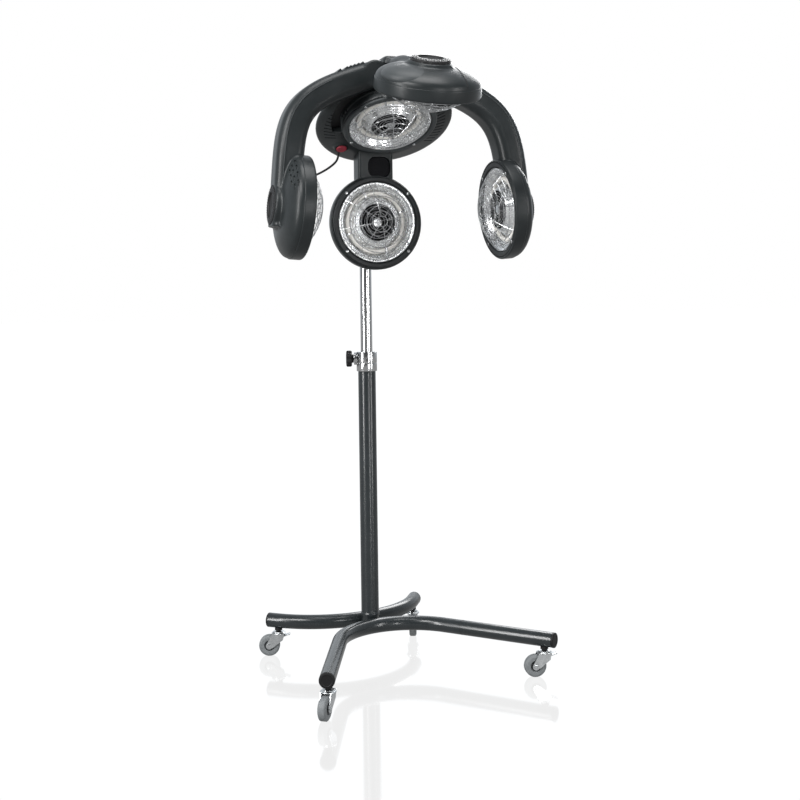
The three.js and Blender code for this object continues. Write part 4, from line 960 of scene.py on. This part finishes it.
def louvres(sign):
    """Short curved slots in rows on a dome's front upper shoulder."""
    slots = []
    for radius, first, count in LOUVRE_ROWS:
        for k in range(count):
            line = []
            for i in range(LOUVRE_STEPS + 1):
                angle = math.radians(first + LOUVRE_PITCH * k + LOUVRE_SPAN * i / LOUVRE_STEPS)
                bulge = radius + 1.6 * math.sin(math.pi * i / LOUVRE_STEPS)
                x, y = polar(bulge, angle)
                line.append((-sign * x, y, dome_height(bulge)))
            slots.append(tube(line, LOUVRE_RADIUS, 8))
    return joined(*slots)


# A raised bead along the arm's outer front edge, coloured lighter than the charcoal arm: a painted highlight
# along that edge.
def arm_highlight_trim(sign):
    line = [
        origin - across * 36.2 + out * (sign * 15.5)
        for origin, across, out in frames_along(arm_line(sign), ARM_SIDE)[HIGHLIGHT_TRIM_START:]
    ]
    return tube(line, 1.1, 10, ARM_SIDE)


def side_arm(side, sign):
    head, place, body = HEADS[side], in_hood(side), f"{side}_head"
    x, y, z = pivot = arm_pivot(sign)
    arm = swept(rounded_rectangle(ARM_WIDTH, ARM_THICKNESS, ARM_CORNER), arm_line(sign), ARM_SIDE)
    root = laid(eased(rod(ARM_THICKNESS / 2, -ARM_WIDTH / 2, ARM_WIDTH / 2), 6, 64), pivot, ALONG_Y)
    dome_forms = [moved(dome(RIM), place), moved(vent_pad(ARM_RAISE), place)]
    shell = fused(f"{side}_arm_shell", [*dome_forms, arm, root], passes=5)
    low, high = sorted((x, x - sign * ARM_EYE_REACH))
    slot = box((low, y - HINGE_MOUTH, z - ARM_EYE_REACH), (high, y + HINGE_MOUTH, z + ARM_EYE_REACH))
    carved(
        shell,
        (HEAD_ROOM, head),
        (vent_recess(ARM_RAISE), head),
        (slot, HOOD),
        (laid(lathe(ARM_EYE, 64), pivot, ALONG_Y), HOOD),
        (louvres(sign), head),
    )
    dressed(shell, body, CHARCOAL, [f"{side}_arm"])
    piece(f"{side}_arm_pin", laid(lathe(ARM_PIN, 24), pivot, ALONG_Y), HOOD, body, ZINC)
    piece(f"{side}_rim_band", rim_band(RIM, 0), head, body, CHARCOAL)
    # The bead in the lighter grey is a painted highlight.
    piece(f"{side}_arm_highlight_trim", arm_highlight_trim(sign), HOOD, body, SATIN_AND_PAINTED_LIGHT)
    piece(f"{side}_arm_ribs", arm_ribs(sign), HOOD, body, CHARCOAL)
    cap, dots = vent_cap(ARM_RAISE, 0)
    piece(f"{side}_vent_cap", cap, head, body, BLACK_AND_SHADE)
    piece(f"{side}_vent_dots", dots, head, body, GLOSS)


side_arm("left", -1)
side_arm("right", 1)


# Front arm, a strap

STRAP_PIVOT = (0, -322, 1358)
STRAP_WIDTH = 78
STRAP_THICKNESS = 34
STRAP_CORNER = 12
STRAP_RAISE = 4
STRAP_LEAD = 60
STRAP_TAIL = 34
STRAP_STEPS = 24
STRAP_SIDE = (1, 0, 0)
STRAP_EYE = rod(13.6, -HINGE_MOUTH, HINGE_MOUTH)
STRAP_EYE_REACH = 40
STRAP_PIN = rod(5, -34, 34)
STRAP_CAP_PROUD = 4.5
LOBE = shift(-46, 22, -37) @ turn(-20, "Z") @ Matrix.Diagonal((60, 62, 23, 1))
LOBE_STEPS = 32
SEAM_X = 50
SEAM_RADIUS = 0.9


def strap_line():
    place = in_hood("front")
    over = place @ Vector((0, 0, -(DOME_DEPTH + STRAP_RAISE - STRAP_THICKNESS / 2)))
    ahead = (place @ Vector((0, 1, 0)) - place @ Vector((0, 0, 0))).normalized()
    return landing(Vector(STRAP_PIVOT), Vector((0, -1, 0)), STRAP_LEAD, over, ahead, STRAP_LEAD, STRAP_TAIL,
                   STRAP_STEPS)


def front_sheen_lobe():
    """The soft cheek on the dome's left, from a squashed ball, in the lighter grey: a painted sheen on the
    charcoal dome.
    """
    half_turn = [math.pi * k / LOBE_STEPS for k in range(LOBE_STEPS + 1)]
    ball = lathe([(math.sin(a), math.cos(a)) for a in half_turn], 72)
    lobe = carved(make("front_sheen_lobe", moved(ball, LOBE), HEADS["front"]), (HEAD_ROOM, HEADS["front"]))
    dressed(lobe, "front_head", SATIN_AND_PAINTED_LIGHT)


def front_arm():
    head, place, body = HEADS["front"], in_hood("front"), "front_head"
    _, y, z = STRAP_PIVOT
    strap = swept(rounded_rectangle(STRAP_WIDTH, STRAP_THICKNESS, STRAP_CORNER), strap_line(), STRAP_SIDE)
    root = eased(rod(STRAP_THICKNESS / 2, -STRAP_WIDTH / 2, STRAP_WIDTH / 2), 4, 48)
    dome_forms = [moved(dome(RIM), place), moved(vent_pad(STRAP_RAISE), place)]
    shell = fused("front_arm_shell", [*dome_forms, strap, laid(root, STRAP_PIVOT, ALONG_X)], passes=5)
    reach = STRAP_EYE_REACH
    slot = box((-HINGE_MOUTH, y, z - reach), (HINGE_MOUTH, y + reach, z + reach))
    carved(
        shell,
        (HEAD_ROOM, head),
        (vent_recess(STRAP_RAISE), head),
        (slot, HOOD),
        (laid(lathe(STRAP_EYE, 48), STRAP_PIVOT, ALONG_X), HOOD),
    )
    dressed(shell, body, CHARCOAL, ["front_arm"])
    front_sheen_lobe()
    seam = [(SEAM_X, along, dome_height(math.hypot(SEAM_X, along))) for along in range(-30, 97, 6)]
    piece("front_seam", tube(seam, SEAM_RADIUS, 8), head, body, BLACK_AND_SHADE)
    piece("front_arm_pin", laid(lathe(STRAP_PIN, 24), STRAP_PIVOT, ALONG_X), HOOD, body, ZINC)
    piece("front_rim_band", rim_band(RIM, 0), head, body, CHARCOAL)
    cap, dots = vent_cap(STRAP_RAISE, STRAP_CAP_PROUD)
    piece("front_vent_cap", cap, head, body, BLACK_AND_SHADE)
    piece("front_vent_dots", dots, head, body, GLOSS)


front_arm()


# Crown housing

DISH_SHIFT = shift(0, -34, 0)
DISH = [(0, -16), (104, -16), (148, -28.5), (157, -33), (157, -41), (148, -50), (113, -84), (63, -104),
        (0, -110)]
HUB_SIDE = [(-303, 1290), (-303, 1386.9), (-241, 1386.9), (-190, 1362), (-140, 1318), (-140, 1290)]
HUB_INSETS = ((-40, 8), (-36, 2), (-30, 0), (30, 0), (36, 2), (40, 8))
CROWN_TUBE = rod(108, -6.3, -33)
CROWN_SEAT = (106.3, HOLLOW_MOUTH), (106.3, -6.3), (HOLLOW, -9)
SWITCH_PLACE = shift(-85, -112, -16)
SWITCH_BOSS = rod(17, -20, 0)
SWITCH_BORE = rod(12.4, -9.6, 6)
SWITCH_BUTTON = [(0, -6.5), (12, -6.5), (12, 2.6), (10.5, 4), (0, 3.2)]
SWITCH_RING = [(12.6, -1), (15.8, -1), (15.8, 0.8), (13.6, 1.6), (12.6, 1.6)]
HUB_GAP = 1.5
ARM_MOUTH_STEPS = 30
LIP_SLOPE = math.degrees(math.atan2(12.5, 44))
LIP_SLOT = (-13, -1.5, -4), (13, 1.5, 4)
LIP_SLOT_COUNT = 11
LIP_DOT = (-1.7, -2.1, -17.2), (1.7, 2.1, -14.9)
LIP_DOT_COUNT = 40
TONGUE = 15
ARM_TONGUE = pipe(6.3, 23, -TONGUE, TONGUE)
STRAP_TONGUE = pipe(5.3, 13, -TONGUE, TONGUE)
HUB_FRONT = -241


def hub_form():
    side = rounded(HUB_SIDE, 16, 5)
    return sweep([
        [(x, y + (inset if y < -220 else -inset) * 0.6, z - inset * 0.7 * (z > 1300)) for y, z in side]
        for x, inset in HUB_INSETS
    ])


def arc_block(radii, heights, angles, steps=40):
    """A block bent round the lamp's axis."""
    corners = pipe(*radii, *heights)
    sections = []
    for k in range(steps + 1):
        angle = math.radians(angles[0] + (angles[1] - angles[0]) * k / steps)
        sections.append([(*polar(radius, angle), height) for radius, height in corners])
    return sweep(sections)


def hinge_rooms():
    """Room in the hub for the three arms, and for their turning."""
    rooms = []
    mouth = rounded_rectangle(ARM_WIDTH + 2 * HUB_GAP, ARM_THICKNESS + 2 * HUB_GAP, ARM_CORNER + HUB_GAP)
    half = ARM_WIDTH / 2 + HUB_GAP
    saddle = lathe(rod(ARM_THICKNESS / 2 + HUB_GAP, -half, half), 64)
    for sign in (-1, 1):
        rooms.append((swept(mouth, arm_line(sign)[:ARM_MOUTH_STEPS], ARM_SIDE), HOOD))
        rooms.append((laid(saddle, arm_pivot(sign), ALONG_Y), HOOD))
    half = STRAP_WIDTH / 2 + HUB_GAP
    saddle = lathe(rod(STRAP_THICKNESS / 2 + HUB_GAP, -half, half), 48)
    rooms.append((laid(saddle, STRAP_PIVOT, ALONG_X), HOOD))
    return rooms


def lip_slots():
    """Vent slots in the dish's sloping lip, in a row on each side."""
    slots = []
    for k in range(LIP_SLOT_COUNT):
        angle = 150 + 5.2 * k
        for mirrored in (angle, 180 - angle):
            place = turn(mirrored, "Z") @ shift(127, 0, -22.4) @ turn(LIP_SLOPE, "Y")
            slots.append((moved(moved(box(*LIP_SLOT), place), DISH_SHIFT), HEADS["crown"]))
    return slots


# The hub's tongues in the arms' hinge slots are charcoal plastic, coloured darker: painted shade inside the
# slots.
def shaded_hub_tongues():
    tongues = []
    for sign in (-1, 1):
        x, y, z = pivot = arm_pivot(sign)
        tongues.append(laid(eased(ARM_TONGUE, 1, 64, 2, True), pivot, ALONG_Y))
        low, high = sorted((x - sign * 8, x - sign * 57))
        tongues.append(box((low, y - TONGUE, z - 10), (high, y + TONGUE, z + 10), 1))
    _, y, z = STRAP_PIVOT
    tongues.append(laid(eased(STRAP_TONGUE, 1, 48, 2, True), STRAP_PIVOT, ALONG_X))
    tongues.append(box((-TONGUE, y + 8, z - 7), (TONGUE, HUB_FRONT, z + 7), 1))
    return joined(*tongues)


def crown_housing():
    head, place = HEADS["crown"], in_hood("crown")
    shell = fused("crown_shell", [
        moved(eased(DISH, 6, 128), place @ DISH_SHIFT),
        moved(lathe(CROWN_TUBE), place),
        hub_form(),
        moved(moved(lathe(SWITCH_BOSS, 48), SWITCH_PLACE), place),
    ], passes=4)
    carved(
        shell,
        (hollow(*CROWN_SEAT, sides=96), head),
        *hinge_rooms(),
        (moved(lathe(SWITCH_BORE, 48), SWITCH_PLACE), head),
        (arc_block((109.5, 131), (-34, 0), (62, 205)), head),
        *lip_slots(),
    )
    dressed(shell, "hood", CHARCOAL, ["crown_housing"])
    # The tongues in the darker grey are painted shade.
    piece("shaded_hub_tongues", shaded_hub_tongues(), HOOD, "hood", DARK_AND_SHADE)


def crown_shade_and_vents():
    # A black plate at the bottom of the recess round the crown lamp: painted shade where the recess is
    # shadowed.
    shade_plate = arc_block((109.8, 130.7), (-34, -31), (62.4, 204.6))
    piece("crown_recess_painted_shade", shade_plate, HEADS["crown"], "hood", BLACK_AND_SHADE)
    dots = [
        moved(box(*LIP_DOT, 0.4), turn(209 + 3.8 * k, "Z") @ shift(112.6, 0, 0))
        for k in range(LIP_DOT_COUNT)
    ]
    piece("crown_lip_vents", joined(*dots), HEADS["crown"], "hood", BLACK_AND_SHADE)


def power_switch():
    place = HEADS["crown"] @ SWITCH_PLACE
    piece("switch_button", eased(SWITCH_BUTTON, 1.2, 56), place, "switch", RED, ["power_switch"])
    piece("switch_ring", eased(SWITCH_RING, 0.4, 56, 2, True), place, "hood", BLACK_AND_SHADE)


crown_housing()
crown_shade_and_vents()
power_switch()


# Nape housing

NAPE_RIM = 110
NECK = (-42, -98, 1090), (42, -50, 1235)
NECK_FLARE = (-52, -95, 1098), (52, -54, 1128)
SOCKET = rod(22, 955, 1164)
SOCKET_WEB = (-19, -60, 965), (19, 0, 1164)
SOCKET_BORE = rod(14.3, 940, 1150.3)
DISH_ROOM = [(0, -15.7), (104, -15.7), (148.3, -28.2), (157.3, -32.7), (157.3, -41), (148, -60), (100, -90),
             (0, -110)]
CROWN_TUBE_ROOM = rod(108.6, 0, -40)
FACING_FRONT = turn(90, "X")
COVER_PLACE = (8, -87, 1165)
COVER_OUTLINE = (54, 48, 18)
COVER_HOLE_PLACE = (8, -86.7, 1165)
COVER_HOLE_OUTLINE = (54.6, 48.6, 18.3)


def nape_housing():
    head, place = HEADS["nape"], in_hood("nape")
    shell = fused("nape_shell", [
        moved(dome(NAPE_RIM), place),
        box(*NECK, 5),
        eased(SOCKET, 4, 64),
        box(*SOCKET_WEB, 4),
        box(*NECK_FLARE, 8),
    ], passes=6)
    hole = extruded(rounded_rectangle(*COVER_HOLE_OUTLINE), 0, 40)
    carved(
        shell,
        (HEAD_ROOM, head),
        (lathe(SOCKET_BORE, 48), HOOD),
        (moved(lathe(DISH_ROOM), DISH_SHIFT), HEADS["crown"]),
        (lathe(CROWN_TUBE_ROOM), HEADS["crown"]),
        (laid(hole, COVER_HOLE_PLACE, FACING_FRONT), HOOD),
    )
    dressed(shell, "hood", CHARCOAL, ["nape_housing"])
    piece("nape_rim_band", rim_band(NAPE_RIM, -6.3), head, "hood", CHARCOAL)
    cover = laid(extruded(rounded_rectangle(*COVER_OUTLINE), 0, 7, 1.6), COVER_PLACE, FACING_FRONT)
    piece("neck_cover_gloss", cover, HOOD, "hood", GLOSS, ["neck_cover"])


nape_housing()


# Stage

FLOOR_REACH = 40
FLOOR_LIGHT = 0.5
FLOOR_SEEN = 1.05
FLOOR_MIRROR = 0.2
FLOOR_ROUGHNESS = 0.07
ROOM_LIGHT = 0.15
ROOM_TINT = (0.9, 0.95, 1, 1)
ROOM_SHINE = 0.06
BACKDROP_SHINE = 1.0
LIGHTS = {  # place, aim, size and power
    "key": ((-2.4, -1.8, 3.1), (0, 0, 1.0), (1.3, 1.3), 95),
    "fill": ((2.2, -2.6, 1.3), (0, 0, 0.8), (0.35, 2.2), 45),
    "rim": ((1.6, 2.2, 2.4), (0, 0, 1.0), (1.6, 1.6), 70),
    "left": ((-2.8, -0.9, 1.4), (0, 0, 0.7), (0.4, 2.0), 75),
    "front": ((0.4, -3.4, 0.9), (0, 0, 0.8), (0.25, 1.6), 26),
    "top": ((0, -0.6, 3.4), (0, 0, 1), (1.4, 1.4), 45),
}


def floor_material():
    """White to the camera with a faint mirror, and a dimmer glow to all other rays."""
    material, nodes, links, shader = new_material("floor")
    nodes.remove(shader)
    seen = nodes.new("ShaderNodeLightPath").outputs["Is Camera Ray"]
    glow = nodes.new("ShaderNodeEmission")
    links.new(scaled(nodes, links, seen, (0, 1), (FLOOR_LIGHT, FLOOR_SEEN)), glow.inputs["Strength"])
    gloss = nodes.new("ShaderNodeBsdfGlossy")
    gloss.inputs["Roughness"].default_value = FLOOR_ROUGHNESS
    gloss.inputs["Color"].default_value = (1, 1, 1, 1)
    mix = nodes.new("ShaderNodeMixShader")
    links.new(scaled(nodes, links, seen, (0, 1), (0, FLOOR_MIRROR)), mix.inputs["Fac"])
    links.new(glow.outputs["Emission"], mix.inputs[1])
    links.new(gloss.outputs["BSDF"], mix.inputs[2])
    links.new(mix.outputs["Shader"], nodes["Material Output"].inputs["Surface"])
    return material


def set_floor():
    """Lays the floor. Returns a collection that keeps the lamps' light off it."""
    corners = [(x * FLOOR_REACH, y * FLOOR_REACH, 0) for x, y in ((-1, -1), (1, -1), (1, 1), (-1, 1))]
    floor = make("floor", (corners, [(0, 1, 2, 3)]), Matrix.Identity(4))
    floor.data.materials.append(floor_material())
    unlit = bpy.data.collections.new("unlit")
    unlit.objects.link(floor)
    unlit.collection_objects[0].light_linking.link_state = "EXCLUDE"
    return unlit


def room_strength(nodes, links):
    """The room's light: shiny surfaces show a white backdrop, and a dim room behind the camera."""
    path = nodes.new("ShaderNodeLightPath")
    shiny = nodes.new("ShaderNodeMath")
    shiny.operation = "MAXIMUM"
    links.new(path.outputs["Is Glossy Ray"], shiny.inputs[0])
    links.new(path.outputs["Is Transmission Ray"], shiny.inputs[1])
    heading = nodes.new("ShaderNodeVectorMath")
    heading.operation = "DOT_PRODUCT"
    links.new(nodes.new("ShaderNodeTexCoord").outputs["Generated"], heading.inputs[0])
    heading.inputs[1].default_value = CAMERA_AHEAD
    shown = scaled(nodes, links, heading.outputs["Value"], (-0.5, 1), (ROOM_SHINE, BACKDROP_SHINE))
    mix = nodes.new("ShaderNodeMix")
    mix.inputs["A"].default_value = ROOM_LIGHT
    links.new(shiny.outputs["Value"], mix.inputs["Factor"])
    links.new(shown, mix.inputs["B"])
    return mix.outputs["Result"]


def set_world():
    world = bpy.data.worlds.new("studio")
    bpy.context.scene.world = world
    world.use_nodes = True
    nodes, links = world.node_tree.nodes, world.node_tree.links
    room = nodes["Background"]
    room.inputs["Color"].default_value = ROOM_TINT
    links.new(room_strength(nodes, links), room.inputs["Strength"])
    white = nodes.new("ShaderNodeBackground")
    white.inputs["Color"].default_value = (1, 1, 1, 1)
    mix = nodes.new("ShaderNodeMixShader")
    links.new(nodes.new("ShaderNodeLightPath").outputs["Is Camera Ray"], mix.inputs["Fac"])
    links.new(room.outputs["Background"], mix.inputs[1])
    links.new(white.outputs["Background"], mix.inputs[2])
    links.new(mix.outputs["Shader"], nodes["World Output"].inputs["Surface"])


def set_lights(unlit):
    for name, (place, aim, size, power) in LIGHTS.items():
        data = bpy.data.lights.new(name, "AREA")
        data.shape = "RECTANGLE"
        data.size, data.size_y = size
        data.energy = power
        lamp = bpy.data.objects.new(name, data)
        lamp.location = place
        lamp.rotation_euler = (Vector(aim) - Vector(place)).to_track_quat("-Z", "Y").to_euler()
        lamp.light_linking.receiver_collection = unlit
        bpy.context.scene.collection.objects.link(lamp)


set_lights(set_floor())
set_world()

bpy.context.scene.view_settings.view_transform = "Standard"
